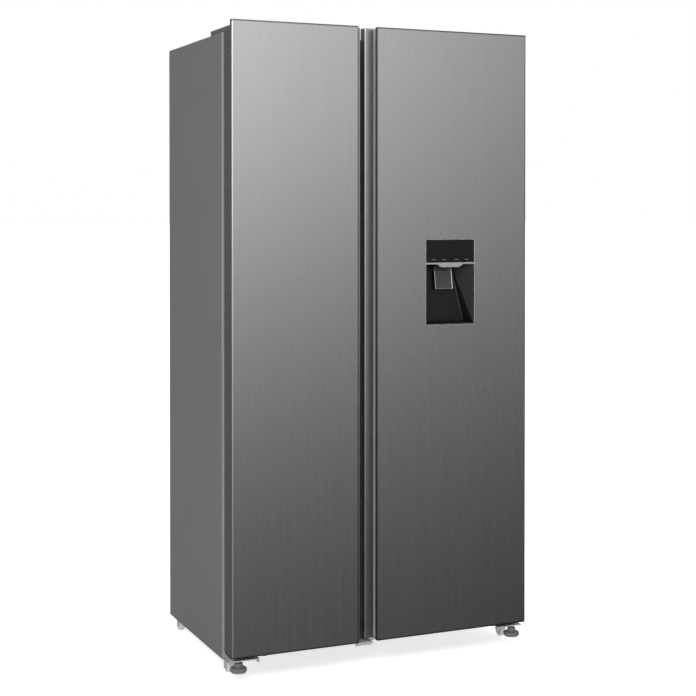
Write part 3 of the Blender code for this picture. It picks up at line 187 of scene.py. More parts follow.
def make_floor():
    bm = bmesh.new()
    bmesh.ops.create_grid(bm, x_segments=12, y_segments=12, size=FLOOR_HALF)
    mesh = bpy.data.meshes.new("floor")
    bm.to_mesh(mesh)
    bm.free()
    floor = bpy.data.objects.new("floor", mesh)
    floor.location = (0, 0, FLOOR_Z - FLOOR_GAP)
    floor.visible_glossy = False
    scene.collection.objects.link(floor)
    surface = Surface("studio_floor", (0.93, 0.93, 0.93), 0.9)
    surface.colour_noise(1.5, (1, 1, 1), 0.01)
    surface.shader.inputs["Emission Color"].default_value = (1, 1, 1, 1)
    surface.shader.inputs["Emission Strength"].default_value = FLOOR_GLOW
    mesh.materials.append(surface.material)


# ---------------------------------------------------------------- procedural finishes

class Surface:
    """A procedural finish: one Principled shader with grain, bump, uneven gloss, painted edge highlights and
    bands of painted shade and highlight.
    """

    def __init__(self, name, colour, roughness, metallic=0.0, **sockets):
        self.material = bpy.data.materials.new(name)
        self.material.use_nodes = True
        tree = self.material.node_tree
        self.nodes = tree.nodes
        self.links = tree.links
        self.shader = self.nodes["Principled BSDF"]
        self.place = self.nodes.new("ShaderNodeTexCoord").outputs["Object"]
        self.shader.inputs["Base Color"].default_value = (*colour, 1.0)
        self.shader.inputs["Roughness"].default_value = roughness
        self.shader.inputs["Metallic"].default_value = metallic
        for key, value in sockets.items():
            self.shader.inputs[key.replace("_", " ")].default_value = value
        self.colour = self.constant(colour)
        self.roughness = roughness
        self.normal = None

    def constant(self, colour):
        node = self.nodes.new("ShaderNodeRGB")
        node.outputs[0].default_value = (*colour, 1.0)
        return node.outputs[0]

    def noise(self, scale, stretch=(1, 1, 1), detail=3.0, kind="ShaderNodeTexNoise"):
        """A texture with so many features a metre, drawn out by stretch."""
        mapping = self.nodes.new("ShaderNodeMapping")
        mapping.inputs["Scale"].default_value = stretch
        self.links.new(self.place, mapping.inputs["Vector"])
        texture = self.nodes.new(kind)
        texture.inputs["Scale"].default_value = scale
        if kind == "ShaderNodeTexNoise":
            texture.inputs["Detail"].default_value = detail
            output = texture.outputs[0]
        else:
            output = texture.outputs["Distance"]
        self.links.new(mapping.outputs[0], texture.inputs["Vector"])
        return output

    def between(self, value, low, high, start=0.3, end=0.7):
        node = self.nodes.new("ShaderNodeMapRange")
        node.inputs["From Min"].default_value = start
        node.inputs["From Max"].default_value = end
        node.inputs["To Min"].default_value = low
        node.inputs["To Max"].default_value = high
        self.links.new(value, node.inputs["Value"])
        return node.outputs[0]

    def mix_colour(self, amount, colour):
        mix = self.nodes.new("ShaderNodeMix")
        mix.data_type = "RGBA"
        self.links.new(amount, mix.inputs["Factor"])
        self.links.new(self.colour, mix.inputs[6])
        self.links.new(colour, mix.inputs[7])
        self.colour = mix.outputs[2]
        self.links.new(self.colour, self.shader.inputs["Base Color"])

    def colour_noise(self, scale, stretch, amount, detail=3.0, kind="ShaderNodeTexNoise"):
        """Makes the colour a little lighter and darker across the surface."""
        value = self.between(self.noise(scale, stretch, detail, kind), 1 - amount, 1 + amount)
        shade = self.nodes.new("ShaderNodeVectorMath")
        shade.operation = "SCALE"
        self.links.new(self.colour, shade.inputs[0])
        self.links.new(value, shade.inputs["Scale"])
        self.colour = shade.outputs[0]
        self.links.new(self.colour, self.shader.inputs["Base Color"])

    def gloss_noise(self, scale, stretch, amount, detail=3.0):
        low = self.roughness - amount
        high = self.roughness + amount
        value = self.between(self.noise(scale, stretch, detail), low, high)
        self.links.new(value, self.shader.inputs["Roughness"])

    def bump(self, scale, stretch, height, detail=2.0, kind="ShaderNodeTexNoise"):
        """A relief of that height in metres."""
        node = self.nodes.new("ShaderNodeBump")
        node.inputs["Strength"].default_value = 1.0
        node.inputs["Distance"].default_value = height
        self.links.new(self.noise(scale, stretch, detail, kind), node.inputs["Height"])
        if self.normal is not None:
            self.links.new(self.normal, node.inputs["Normal"])
        self.normal = node.outputs[0]
        self.links.new(self.normal, self.shader.inputs["Normal"])

    def band(self, axis, centre, half, factor):
        """Scales the colour within half of a line at centre by factor: painted shade where it is below one,
        a painted highlight where it is above, for the light and shade along the fold of a sheet.
        """
        split = self.nodes.new("ShaderNodeSeparateXYZ")
        self.links.new(self.place, split.inputs[0])
        offset = self.nodes.new("ShaderNodeMath")
        offset.operation = "SUBTRACT"
        offset.inputs[1].default_value = centre
        self.links.new(split.outputs[axis], offset.inputs[0])
        distance = self.nodes.new("ShaderNodeMath")
        distance.operation = "ABSOLUTE"
        self.links.new(offset.outputs[0], distance.inputs[0])
        shade = self.nodes.new("ShaderNodeVectorMath")
        shade.operation = "SCALE"
        self.links.new(self.colour, shade.inputs[0])
        strength = self.between(distance.outputs[0], factor, 1.0, half * 0.5, half)
        self.links.new(strength, shade.inputs["Scale"])
        self.colour = shade.outputs[0]
        self.links.new(self.colour, self.shader.inputs["Base Color"])

    def painted_edge_highlight(self, radius, colour, amount=0.5):
        """Rounds the look of each edge and lightens its colour as a painted highlight, broken up by a coarse
        noise.
        """
        bevel = self.nodes.new("ShaderNodeBevel")
        bevel.samples = 4
        bevel.inputs["Radius"].default_value = radius
        flat = self.nodes.new("ShaderNodeNewGeometry")
        dot = self.nodes.new("ShaderNodeVectorMath")
        dot.operation = "DOT_PRODUCT"
        self.links.new(bevel.outputs[0], dot.inputs[0])
        self.links.new(flat.outputs["Normal"], dot.inputs[1])
        edge = self.between(dot.outputs["Value"], amount, 0.0, 0.75, 0.97)
        patchy = self.between(self.noise(90.0), 0.3, 1.0)
        highlight_share = self.nodes.new("ShaderNodeMath")
        highlight_share.operation = "MULTIPLY"
        self.links.new(edge, highlight_share.inputs[0])
        self.links.new(patchy, highlight_share.inputs[1])
        self.mix_colour(highlight_share.outputs[0], self.constant(colour))
        self.normal = bevel.outputs[0]
        self.links.new(self.normal, self.shader.inputs["Normal"])


def grey(value, tint=0.0):
    return (value, value * (1 + tint * 0.5), value * (1 + tint))


ROUND = (1, 1, 1)
UPRIGHT_GRAIN = (1, 1, 0.008)


def brushed(name, colour, roughness, edge, painted_light_bands=()):
    surface = Surface(name, colour, roughness, 1.0, Anisotropic=0.5)
    surface.painted_edge_highlight(0.0009, edge, 0.35)
    surface.colour_noise(1300.0, UPRIGHT_GRAIN, 0.024)
    surface.colour_noise(130.0, (1, 1, 0.012), 0.010)
    surface.gloss_noise(420.0, UPRIGHT_GRAIN, 0.014)
    surface.bump(1700.0, UPRIGHT_GRAIN, 0.000005)
    surface.bump(2.2, (1, 1, 0.6), 0.0002, 1.0)
    # Painted shade and painted highlight along the given lines
    for axis, centre, half, factor in painted_light_bands:
        surface.band(axis, centre, half, factor)
    return surface.material


def painted(name, colour, roughness, edge, painted_light_bands=()):
    surface = Surface(name, colour, roughness, 0.0, IOR=1.42)
    surface.painted_edge_highlight(0.0022, edge, 0.85)
    surface.colour_noise(3.0, ROUND, 0.015)
    surface.colour_noise(400.0, ROUND, 0.03)
    surface.gloss_noise(9.0, ROUND, 0.04)
    surface.bump(650.0, ROUND, 0.00002)
    # Painted shade and painted highlight along the given lines
    for axis, centre, half, factor in painted_light_bands:
        surface.band(axis, centre, half, factor)
    return surface.material


def galvanised(name):
    surface = Surface(name, grey(0.58, 0.03), 0.42, 0.55)
    surface.painted_edge_highlight(0.0006, grey(0.75), 0.5)
    surface.colour_noise(160.0, ROUND, 0.16, kind="ShaderNodeTexVoronoi")
    surface.colour_noise(7.0, ROUND, 0.06)
    surface.gloss_noise(60.0, ROUND, 0.10)
    surface.bump(240.0, ROUND, 0.00004, kind="ShaderNodeTexVoronoi")
    return surface.material


def moulded(name, colour, roughness, edge, texture=0.00003, **sockets):
    surface = Surface(name, colour, roughness, 0.0, **sockets)
    surface.painted_edge_highlight(0.0006, edge, 0.4)
    surface.colour_noise(40.0, ROUND, 0.03)
    surface.gloss_noise(25.0, ROUND, min(0.06, roughness * 0.4))
    surface.bump(1500.0, ROUND, texture)
    return surface.material


def see_through(name, colour, roughness, amount, ior):
    surface = Surface(name, colour, roughness, 0.0, Transmission_Weight=amount, IOR=ior)
    surface.colour_noise(14.0, ROUND, 0.02)
    surface.gloss_noise(18.0, ROUND, roughness * 0.5)
    surface.bump(60.0, ROUND, 0.00002)
    return surface.material


def foam_finish(name):
    surface = Surface(name, (0.80, 0.70, 0.47), 0.85)
    surface.colour_noise(6.0, ROUND, 0.08)
    surface.colour_noise(220.0, ROUND, 0.10)
    surface.bump(700.0, ROUND, 0.0004, kind="ShaderNodeTexVoronoi")
    return surface.material


def vinyl(name):
    surface = Surface(name, grey(0.075), 0.55)
    surface.painted_edge_highlight(0.0008, grey(0.14), 0.5)
    surface.colour_noise(12.0, ROUND, 0.10)
    surface.gloss_noise(30.0, ROUND, 0.08)
    surface.bump(380.0, (1, 1, 0.1), 0.00006)
    return surface.material


def finned(name):
    surface = Surface(name, grey(0.72, 0.02), 0.30, 1.0)
    surface.colour_noise(50.0, ROUND, 0.10)
    surface.gloss_noise(80.0, ROUND, 0.10)
    surface.bump(420.0, (1, 0.02, 0.02), 0.0006)
    return surface.material


freezer_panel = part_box("freezer_door_panel")
fridge_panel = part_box("fridge_door_panel")
# Painted shade along each fold of the door panels' sheet metal, at their top and bottom, at the handle
# channel and at the fridge panel's outer edge: axis, place, half width and how light they look
PANEL_PAINTED_SHADE = [("Z", freezer_panel[1].z, 0.0050, 0.30), ("Z", freezer_panel[0].z, 0.0050, 0.30),
               ("X", fridge_panel[1].x, 0.0050, 0.32), ("X", fridge_panel[0].x, 0.0026, 0.30),
               ("X", freezer_panel[1].x, 0.0036, 0.55)]
# A painted highlight along the rounded front edge of the cabinet's case, in the same columns
CASE_PAINTED_HIGHLIGHT = [("Y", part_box("outer_case")[0].y + 0.003, 0.0075, 1.75)]

FINISHES = {
    "stainless": brushed("dark_stainless", grey(0.49, 0.01), 0.27, grey(0.62), PANEL_PAINTED_SHADE),
    "handle_metal": brushed("dark_satin_metal", grey(0.44, 0.01), 0.30, grey(0.60)),
    "grey_paint": painted("satin_grey_paint", grey(0.105), 0.55, grey(0.30), CASE_PAINTED_HIGHLIGHT),
    "zinc": galvanised("galvanised_steel"),
    "dark_trim": moulded("dark_trim_plastic", grey(0.075), 0.45, grey(0.13)),
    "black_plastic": moulded("black_moulding", grey(0.007, 0.05), 0.34, grey(0.05), IOR=1.33),
    "black_gloss": moulded("black_display", grey(0.006, 0.05), 0.12, grey(0.03), 0.000002, IOR=1.34),
    "smoke": see_through("smoky_paddle", grey(0.045), 0.14, 0.35, 1.49),
    "white_plastic": moulded("white_liner_plastic", (0.60, 0.61, 0.62), 0.32, (0.68, 0.69, 0.70), 0.00002),
    "grey_plastic": moulded("grey_moulding", grey(0.115), 0.42, grey(0.22)),
    "roller_nylon": moulded("pale_nylon", grey(0.55), 0.45, grey(0.65)),
    "clear_plastic": see_through("clear_moulding", (0.90, 0.95, 0.98), 0.06, 0.88, 1.49),
    "foam": foam_finish("rigid_foam"),
    "gasket": vinyl("gasket_vinyl"),
    "shelf_glass": see_through("tempered_glass", (0.90, 0.97, 0.94), 0.02, 0.95, 1.52),
    "black_enamel": painted("black_enamel", grey(0.02), 0.30, grey(0.08)),
    "bare_aluminium": finned("bare_aluminium"),
    "bright_trim": brushed("bright_trim", grey(0.86), 0.22, grey(0.92)),
    # A pale grey for the painted glint strips in the handle channels
    "painted_glint_trim": moulded("painted_glint_plastic", grey(0.27), 0.48, grey(0.34)),
    "copper": brushed("copper_pipe", (0.72, 0.38, 0.24), 0.30, (0.80, 0.46, 0.30)),
    "lamp_lens": see_through("lamp_lens", (0.96, 0.97, 1.0), 0.25, 0.6, 1.49),
}


def dress_nodes():
    for part in frame["record"]["subparts"]:
        node = frame["nodes"][part["node"]]
        for place in node.material_slots:
            place.material = FINISHES[part["material_slot"]]


# ---------------------------------------------------------------- mesh helpers

def add_prism(bm, outline, axis, low, high):
    """A closed outline in the two other axes, drawn along one axis from low to high."""
    def at(point, level):
        values = list(point)
        values.insert("XYZ".index(axis), level)
        return Vector(values)
    rings = [[bm.verts.new(at(point, level)) for point in outline] for level in (low, high)]
    count = len(outline)
    for index in range(count):
        following = (index + 1) % count
        bm.faces.new((rings[0][index], rings[0][following], rings[1][following], rings[1][index]))
    bm.faces.new(rings[0])
    bm.faces.new(rings[1])


def add_block(bm, low, high):
    outline = [(low[0], low[1]), (high[0], low[1]), (high[0], high[1]), (low[0], high[1])]
    add_prism(bm, outline, "Z", low[2], high[2])


def add_turned(bm, profile, centre, axis, steps=24):
    """A profile of (radius, height) pairs turned about an axis through centre."""
    first, second = [Vector(v) for v in {"X": ((0, 1, 0), (0, 0, 1)), "Y": ((0, 0, 1), (1, 0, 0)),
                                         "Z": ((1, 0, 0), (0, 1, 0))}[axis]]
    along = first.cross(second)
    rings = []
    for radius, height in profile:
        middle = Vector(centre) + along * height
        if radius == 0:
            rings.append([bm.verts.new(middle)])
            continue
        ring = []
        for step in range(steps):
            angle = math.tau * step / steps
            ring.append(bm.verts.new(middle + (first * math.cos(angle) + second * math.sin(angle)) * radius))
        rings.append(ring)
    for lower, upper in zip(rings, rings[1:]):
        for step in range(steps):
            following = (step + 1) % steps
            corners = [lower[step % len(lower)], lower[following % len(lower)],
                       upper[following % len(upper)], upper[step % len(upper)]]
            kept = [v for i, v in enumerate(corners) if v not in corners[:i]]
            if len(kept) > 2:
                bm.faces.new(kept)
    for ring in (rings[0], rings[-1]):
        if len(ring) > 1:
            bm.faces.new(ring)


def add_tube(bm, points, radius, steps=10):
    """A round tube along a line of points."""
    points = [Vector(p) for p in points]
    rings = []
    side = Vector((0.13, 0.29, 0.95))
    for index, point in enumerate(points):
        before = points[max(index - 1, 0)]
        after = points[min(index + 1, len(points) - 1)]
        along = (after - before).normalized()
        first = (side - along * side.dot(along)).normalized()
        side = first
        second = along.cross(first)
        rings.append([bm.verts.new(point + (first * math.cos(math.tau * s / steps)
                                            + second * math.sin(math.tau * s / steps)) * radius)
                      for s in range(steps)])
    for lower, upper in zip(rings, rings[1:]):
        for step in range(steps):
            following = (step + 1) % steps
            bm.faces.new((lower[step], lower[following], upper[following], upper[step]))
    bm.faces.new(rings[0])
    bm.faces.new(rings[-1])


def rounded_outline(low, high, radius, steps=5):
    """A rectangle with rounded corners, as points in order."""
    left, right = low[0] + radius, high[0] - radius
    bottom, top = low[1] + radius, high[1] - radius
    points = []
    for corner, (x, y) in enumerate([(right, top), (left, top), (left, bottom), (right, bottom)]):
        for step in range(steps + 1):
            angle = math.pi / 2 * (corner + step / steps)
            points.append((x + math.cos(angle) * radius, y + math.sin(angle) * radius))
    return points


def add_frame(bm, outer, inner, axis, low, high):
    """A closed band between two outlines that have the same number of points."""
    rings = []
    for outline in (outer, inner):
        for level in (low, high):
            ring = []
            for point in outline:
                values = list(point)
                values.insert("XYZ".index(axis), level)
                ring.append(bm.verts.new(values))
            rings.append(ring)
    outer_low, outer_high, inner_low, inner_high = rings
    count = len(outer)
    for index in range(count):
        following = (index + 1) % count
        for a, b in ((outer_low, outer_high), (outer_high, inner_high), (inner_high, inner_low),
                     (inner_low, outer_low)):
            bm.faces.new((a[index], a[following], b[following], b[index]))


def add_ring(bm, profile, centre, steps=28):
    """A closed profile of (radius, offset) pairs turned about the X axis through centre."""
    rings = []
    for radius, offset in profile:
        ring = []
        for step in range(steps):
            angle = math.tau * step / steps
            ring.append(bm.verts.new((centre[0] + offset, centre[1] + math.cos(angle) * radius,
                                      centre[2] + math.sin(angle) * radius)))
        rings.append(ring)
    for index, lower in enumerate(rings):
        upper = rings[(index + 1) % len(rings)]
        for step in range(steps):
            following = (step + 1) % steps
            bm.faces.new((lower[step], lower[following], upper[following], upper[step]))


def add_around(bm, centre, axis, count, add):
    """Adds the same shape, drawn about the origin, count times about an axis through centre."""
    for step in range(count):
        turn = Matrix.Translation(centre) @ Matrix.Rotation(math.tau * step / count, 4, axis)
        start = len(bm.verts)
        add()
        bm.verts.ensure_lookup_table()
        bmesh.ops.transform(bm, matrix=turn, verts=bm.verts[start:])


def from_front(depths):
    """Places along Y that lie so far behind the front of the doors."""
    return [DOOR_FRONT + depth for depth in depths]


# Edges sharper than this are split for shading
SHARP_ANGLE = math.radians(35)


def piece(name, bm, body, slot, finish=None, bevel=0.0, smooth=False):
    """A new visible piece, which rides on a body and takes the finish named by finish, or else the one named
    by slot.
    """
    bmesh.ops.recalc_face_normals(bm, faces=bm.faces)
    mesh = bpy.data.meshes.new(name)
    bm.to_mesh(mesh)
    bm.free()
    obj = bpy.data.objects.new(name, mesh)
    scene.collection.objects.link(obj)
    mesh.materials.append(FINISHES[finish or slot])
    if smooth:
        for face in mesh.polygons:
            face.use_smooth = True
        split = obj.modifiers.new("split", "EDGE_SPLIT")
        split.split_angle = SHARP_ANGLE
    if bevel:
        edge = obj.modifiers.new("edge", "BEVEL")
        edge.width = bevel
        edge.segments = 2
        edge.limit_method = "ANGLE"
    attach(obj, body)
    return obj


# ---------------------------------------------------------------- water dispenser

VISOR_INSET = 0.0012
VISOR_GAP = 0.0003
VISOR_HEIGHT = 0.0050
VISOR_REACH = 0.0085
VISOR_HALF_BULGE = 0.043
VISOR_SHOULDER = 0.36
VISOR_STEPS = 16
VISOR_DEPTHS = (0.0001, 0.0034)
RIM_WIDTH = 0.0014
RIM_CORNER = 0.0050
RIM_DEPTHS = (0.00005, 0.0012)
MARK_LENGTH = 0.0125
MARK_THICK = 0.0016
MARK_LEVEL = 0.0085
MARK_PLACES = (-0.0525, -0.0190, 0.0190, 0.0525)
MARK_DEPTHS = (0.00012, 0.0006)
GRID_FLOOR = 0.0034
GRID_INSET = 0.020
GRID_GAPS = 10
GRID_HALF_BAR = 0.0013
GRID_FRONT = 0.007
GRID_BACK = 0.034
GRID_SLOPE = 0.0035
# Where the tube of painted highlight along the recess fold runs
FOLD_FOOT = (0.0165, 0.0412, 0.0095)
FOLD_HEAD = (0.0500, 0.0505, 0.0170)
FOLD_RADIUS = 0.0011
FOLD_STEPS = 8
PADDLE_EDGE = 0.0018
PADDLE_EDGE_DEPTH = 0.0022
PADDLE_FOOT = 0.0010
PADDLE_HEAD = 0.006
PADDLE_AXLE_END = 0.003
PADDLE_LEAN = 0.0100


def make_visor(low, high, top):
    """The silver strip under the display, with a soft bulge in its middle."""
    middle = (low.x + high.x) / 2
    bottom = top - VISOR_HEIGHT
    outline = [(low.x + VISOR_INSET, top), (low.x + VISOR_INSET, bottom)]
    for step in range(VISOR_STEPS + 1):
        across = step / VISOR_STEPS * 2 - 1
        dip = min(1.0, (1 - abs(across)) / VISOR_SHOULDER)
        dip = dip * dip * (3 - 2 * dip)
        outline.append((middle + across * VISOR_HALF_BULGE, bottom - VISOR_REACH * dip))
    outline += [(high.x - VISOR_INSET, bottom), (high.x - VISOR_INSET, top)]
    bm = bmesh.new()
    add_prism(bm, outline, "Y", *from_front(VISOR_DEPTHS))
    piece("dispenser_visor", bm, "fridge_door", "bare_aluminium", "bright_trim", 0.0006)


def make_rim(low, high):
    bm = bmesh.new()
    outer = rounded_outline((low.x, low.z), (high.x, high.z), RIM_CORNER)
    inner = rounded_outline((low.x + RIM_WIDTH, low.z + RIM_WIDTH), (high.x - RIM_WIDTH, high.z - RIM_WIDTH),
                            RIM_CORNER - RIM_WIDTH)
    add_frame(bm, outer, inner, "Y", *from_front(RIM_DEPTHS))
    piece("dispenser_rim", bm, "fridge_door", "bare_aluminium", "bright_trim")


def make_marks(middle, level):
    """Four plain dashes along the foot of the display."""
    bm = bmesh.new()
    for offset in MARK_PLACES:
        outline = rounded_outline((middle + offset - MARK_LENGTH / 2, level - MARK_THICK / 2),
                                  (middle + offset + MARK_LENGTH / 2, level + MARK_THICK / 2),
                                  MARK_THICK * 0.49, 3)
        add_prism(bm, outline, "Y", *from_front(MARK_DEPTHS))
    piece("display_marks", bm, "fridge_door", "grey_plastic")


def make_drip_grid(low, high):
    bm = bmesh.new()
    floor_z = low.z + GRID_FLOOR
    first_x = low.x + GRID_INSET
    last_x = high.x - GRID_INSET
    front_y, back_y = from_front((GRID_FRONT, GRID_BACK))
    outline = [(front_y, floor_z), (back_y, floor_z + GRID_SLOPE),
               (back_y, floor_z + 0.0062), (front_y, floor_z + 0.0024)]
    for step in range(GRID_GAPS + 1):
        x = first_x + (last_x - first_x) * step / GRID_GAPS
        add_prism(bm, outline, "X", x - GRID_HALF_BAR, x + GRID_HALF_BAR)
    add_block(bm, (first_x - GRID_HALF_BAR, front_y - 0.0010, floor_z - 0.0004),
              (last_x + GRID_HALF_BAR, front_y + 0.0015, floor_z + 0.0024))
    piece("drip_grid", bm, "fridge_door", "black_plastic", None, 0.0004)


def make_recess_fold_highlight(low, high, display_low):
    """A tube along the line where the back of the recess meets its slanted right side, lighter than the
    recess as a painted highlight on that line.
    """
    foot = Vector((high.x - FOLD_FOOT[0], DOOR_FRONT + FOLD_FOOT[1], low.z + FOLD_FOOT[2]))
    head = Vector((high.x - FOLD_HEAD[0], DOOR_FRONT + FOLD_HEAD[1], display_low.z - FOLD_HEAD[2]))
    bm = bmesh.new()
    add_tube(bm, [foot.lerp(head, step / FOLD_STEPS) for step in range(FOLD_STEPS + 1)], FOLD_RADIUS, 8)
    # The tube is coloured lighter than the recess as a painted highlight
    piece("recess_fold_painted_highlight", bm, "fridge_door", "gasket", "gasket", 0.0, True)


def make_paddle_edges():
    """A bright, a satin and a grey edge around the smoky paddle."""
    low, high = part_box("dispenser_paddle")
    front = low.y - 0.0002
    back = front + PADDLE_LEAN
    foot = low.z + PADDLE_FOOT
    top = high.z - PADDLE_HEAD
    half = (high.x - low.x) / 2 - PADDLE_AXLE_END
    centre = (low.x + high.x) / 2
    outline = [(back - 0.0010, top), (back + 0.0014, top), (front + 0.0014, foot), (front - 0.0010, foot)]
    for side, label, finish in ((-1, "left", "stainless"), (1, "right", "bright_trim")):
        x = centre + side * (half - PADDLE_EDGE / 2)
        bm = bmesh.new()
        add_prism(bm, outline, "X", x - PADDLE_EDGE / 2, x + PADDLE_EDGE / 2)
        piece("paddle_edge_" + label, bm, "dispenser_paddle", "smoke", finish, 0.0003)
    bm = bmesh.new()
    add_block(bm, (centre - half + PADDLE_EDGE, front, foot),
              (centre + half - PADDLE_EDGE, front + PADDLE_EDGE_DEPTH, foot + PADDLE_EDGE))
    piece("paddle_edge_bottom", bm, "dispenser_paddle", "smoke", "grey_plastic", 0.0003)


def make_dispenser():
    low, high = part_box("dispenser_housing")
    display_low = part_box("dispenser_display")[0]
    make_visor(low, high, display_low.z - VISOR_GAP)
    make_rim(low, high)
    make_marks((low.x + high.x) / 2, display_low.z + MARK_LEVEL)
    make_drip_grid(low, high)
    make_recess_fold_highlight(low, high, display_low)
    make_paddle_edges()


# ---------------------------------------------------------------- handle channels

CHANNEL_FLOOR_DEPTH = 0.0358
# Where the dark strip of painted shade lies along each panel's lip
SHADE_NEAR = 0.0002
SHADE_FAR = 0.0014
SHADE_DEPTHS = (0.0017, 0.0022, 0.0108, 0.0112)
SHADE_END_GAP = 0.002
# Where the pale strip of painted glint lies in each channel
STRIP_START = 0.0040
STRIP_END = 0.0137
STRIP_EDGE = 0.0012
STRIP_HEIGHTS = (0.0026, 0.0130, 0.0136)
STRIP_END_GAP = 0.003
BRACKET_DEPTH = 0.024
BRACKET_DROP = 0.0095
BRACKET_GAP = 0.0012
BRACKET_THICK = 0.002
BRACKET_SIDE_GAP = 0.002
FLANGE_GAP = 0.0004


def make_channel_trims():
    """A dark strip on each door panel's lip that paints the shade under the lip, and a slanted strip behind
    it, coloured pale as a painted glint.
    """
    fridge_low, fridge_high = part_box("fridge_door_panel")
    freezer_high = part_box("freezer_door_panel")[1]
    floor_y = DOOR_FRONT + CHANNEL_FLOOR_DEPTH
    shade_front, shade_start, shade_end, shade_back = from_front(SHADE_DEPTHS)
    lip_height, slope_height, strip_height = STRIP_HEIGHTS
    for label, edge_x, inward in (("fridge", fridge_low.x, 1), ("freezer", freezer_high.x, -1)):
        body = label + "_door"
        near = edge_x - inward * SHADE_NEAR
        far = edge_x - inward * SHADE_FAR
        bm = bmesh.new()
        # A dark strip along the lip, painted shade under the panel's edge
        add_prism(bm, [(far, shade_start), (near, shade_front), (near, shade_back), (far, shade_end)], "Z",
                  fridge_low.z + SHADE_END_GAP, fridge_high.z - SHADE_END_GAP)
        piece(label + "_lip_painted_shade", bm, body, "gasket", "black_plastic", 0.0002)

        # A slanted strip behind the lip, coloured pale as a painted glint
        start = edge_x + inward * STRIP_START
        end = edge_x + inward * STRIP_END
        outline = [(start, floor_y), (start + inward * STRIP_EDGE, floor_y - lip_height),
                   (end - inward * STRIP_EDGE, floor_y - slope_height), (end, floor_y - strip_height),
                   (end, floor_y)]
        bm = bmesh.new()
        add_prism(bm, outline, "Z", fridge_low.z + STRIP_END_GAP, fridge_high.z - STRIP_END_GAP)
        piece(label + "_painted_glint_strip", bm, body, "handle_metal", "painted_glint_trim")


def make_centre_bracket():
    """The plated stop under the meeting edges of the doors."""
    fridge_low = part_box("fridge_door_panel")[0]
    freezer_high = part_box("freezer_door_panel")[1]
    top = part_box("fridge_door_bottom_cap")[0].z - BRACKET_GAP
    under = top - BRACKET_THICK
    foot = top + BRACKET_GAP - BRACKET_DROP
    low_y = DOOR_FRONT + BRACKET_DEPTH
    high_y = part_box("outer_case")[0].y - FLANGE_GAP
    bm = bmesh.new()
    add_prism(bm, [(low_y, foot), (low_y, top), (high_y, top), (high_y, under),
                   (low_y + BRACKET_THICK, under), (low_y + BRACKET_THICK, foot)],
              "X", freezer_high.x + BRACKET_SIDE_GAP, fridge_low.x - BRACKET_SIDE_GAP)
    piece("centre_bracket", bm, "cabinet", "zinc", None, 0.0004)


# ---------------------------------------------------------------- inside

TRIM_SIDE_GAP = 0.0006
TRIM_GAP = 0.0003
LAMP_HALF_WIDTH = 0.060
LAMP_Y = (-0.060, -0.020)
LAMP_CORNER = 0.008
LAMP_DROP = 0.0085
LAMP_RIBS = 9
LAMP_RIB_PITCH = 0.012
LAMP_RIB_HALF = 0.002
LAMP_RIB_Y = (-0.054, -0.026)
LAMP_RIB_DROPS = (0.0105, 0.0080)
BIN_INSET = 0.0014
BIN_BEND = 0.018
BIN_BEND_STEPS = 6
BIN_RIM_DROP = 0.001
BIN_RIM_START = 0.004
BIN_RIM_RADIUS = 0.0026
DRAWER_GRIP_DEPTH = 0.012
FRONT_SIDE = 0.014
FRONT_BOTTOM = 0.012
FRONT_TOP = 0.030
FRONT_CORNER = 0.010
RIDGE_SIDE = 0.034
RIDGE_START = 0.030
RIDGE_PITCH = 0.012
RIDGE_HALF = 0.0018
RIDGE_CORNER = 0.0017
LID_STEPS = 32
LID_TEETH = 24


def make_shelf_trims():
    """A moulded strip that wraps the front edge of each glass shelf."""
    for name in ("freezer_shelf_lower", "freezer_shelf_upper", "fridge_shelf_lower", "fridge_shelf_middle",
                 "fridge_shelf_upper"):
        low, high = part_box(name)
        outline = [(low.y - 0.0050, low.z - 0.0010), (low.y - 0.0040, low.z - 0.0025),
                   (low.y + 0.014, low.z - 0.0022), (low.y + 0.014, low.z - TRIM_GAP),
                   (low.y - TRIM_GAP, low.z - TRIM_GAP), (low.y - TRIM_GAP, high.z + TRIM_GAP),
                   (low.y + 0.010, high.z + TRIM_GAP), (low.y + 0.010, high.z + 0.0018),
                   (low.y - 0.0040, high.z + 0.0030), (low.y - 0.0050, high.z + 0.0015)]
        bm = bmesh.new()
        add_prism(bm, outline, "X", low.x + TRIM_SIDE_GAP, high.x - TRIM_SIDE_GAP)
        piece(name + "_trim", bm, "cabinet", "white_plastic", None, 0.0004)


def make_lamps():
    """A ribbed lens under the ceiling of each compartment."""
    for label in ("freezer", "fridge"):
        shelf_low, shelf_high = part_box(label + "_shelf_upper")
        middle = (shelf_low.x + shelf_high.x) / 2
        bm = bmesh.new()
        outer = rounded_outline((middle - LAMP_HALF_WIDTH, LAMP_Y[0]),
                                (middle + LAMP_HALF_WIDTH, LAMP_Y[1]), LAMP_CORNER)
        add_prism(bm, outer, "Z", LINER_CEILING - LAMP_DROP, LINER_CEILING - TRIM_GAP)
        for step in range(LAMP_RIBS):
            x = middle + (step - (LAMP_RIBS - 1) / 2) * LAMP_RIB_PITCH
            add_block(bm, (x - LAMP_RIB_HALF, LAMP_RIB_Y[0], LINER_CEILING - LAMP_RIB_DROPS[0]),
                      (x + LAMP_RIB_HALF, LAMP_RIB_Y[1], LINER_CEILING - LAMP_RIB_DROPS[1]))
        piece(label + "_lamp", bm, "cabinet", "clear_plastic", "lamp_lens", 0.0006)


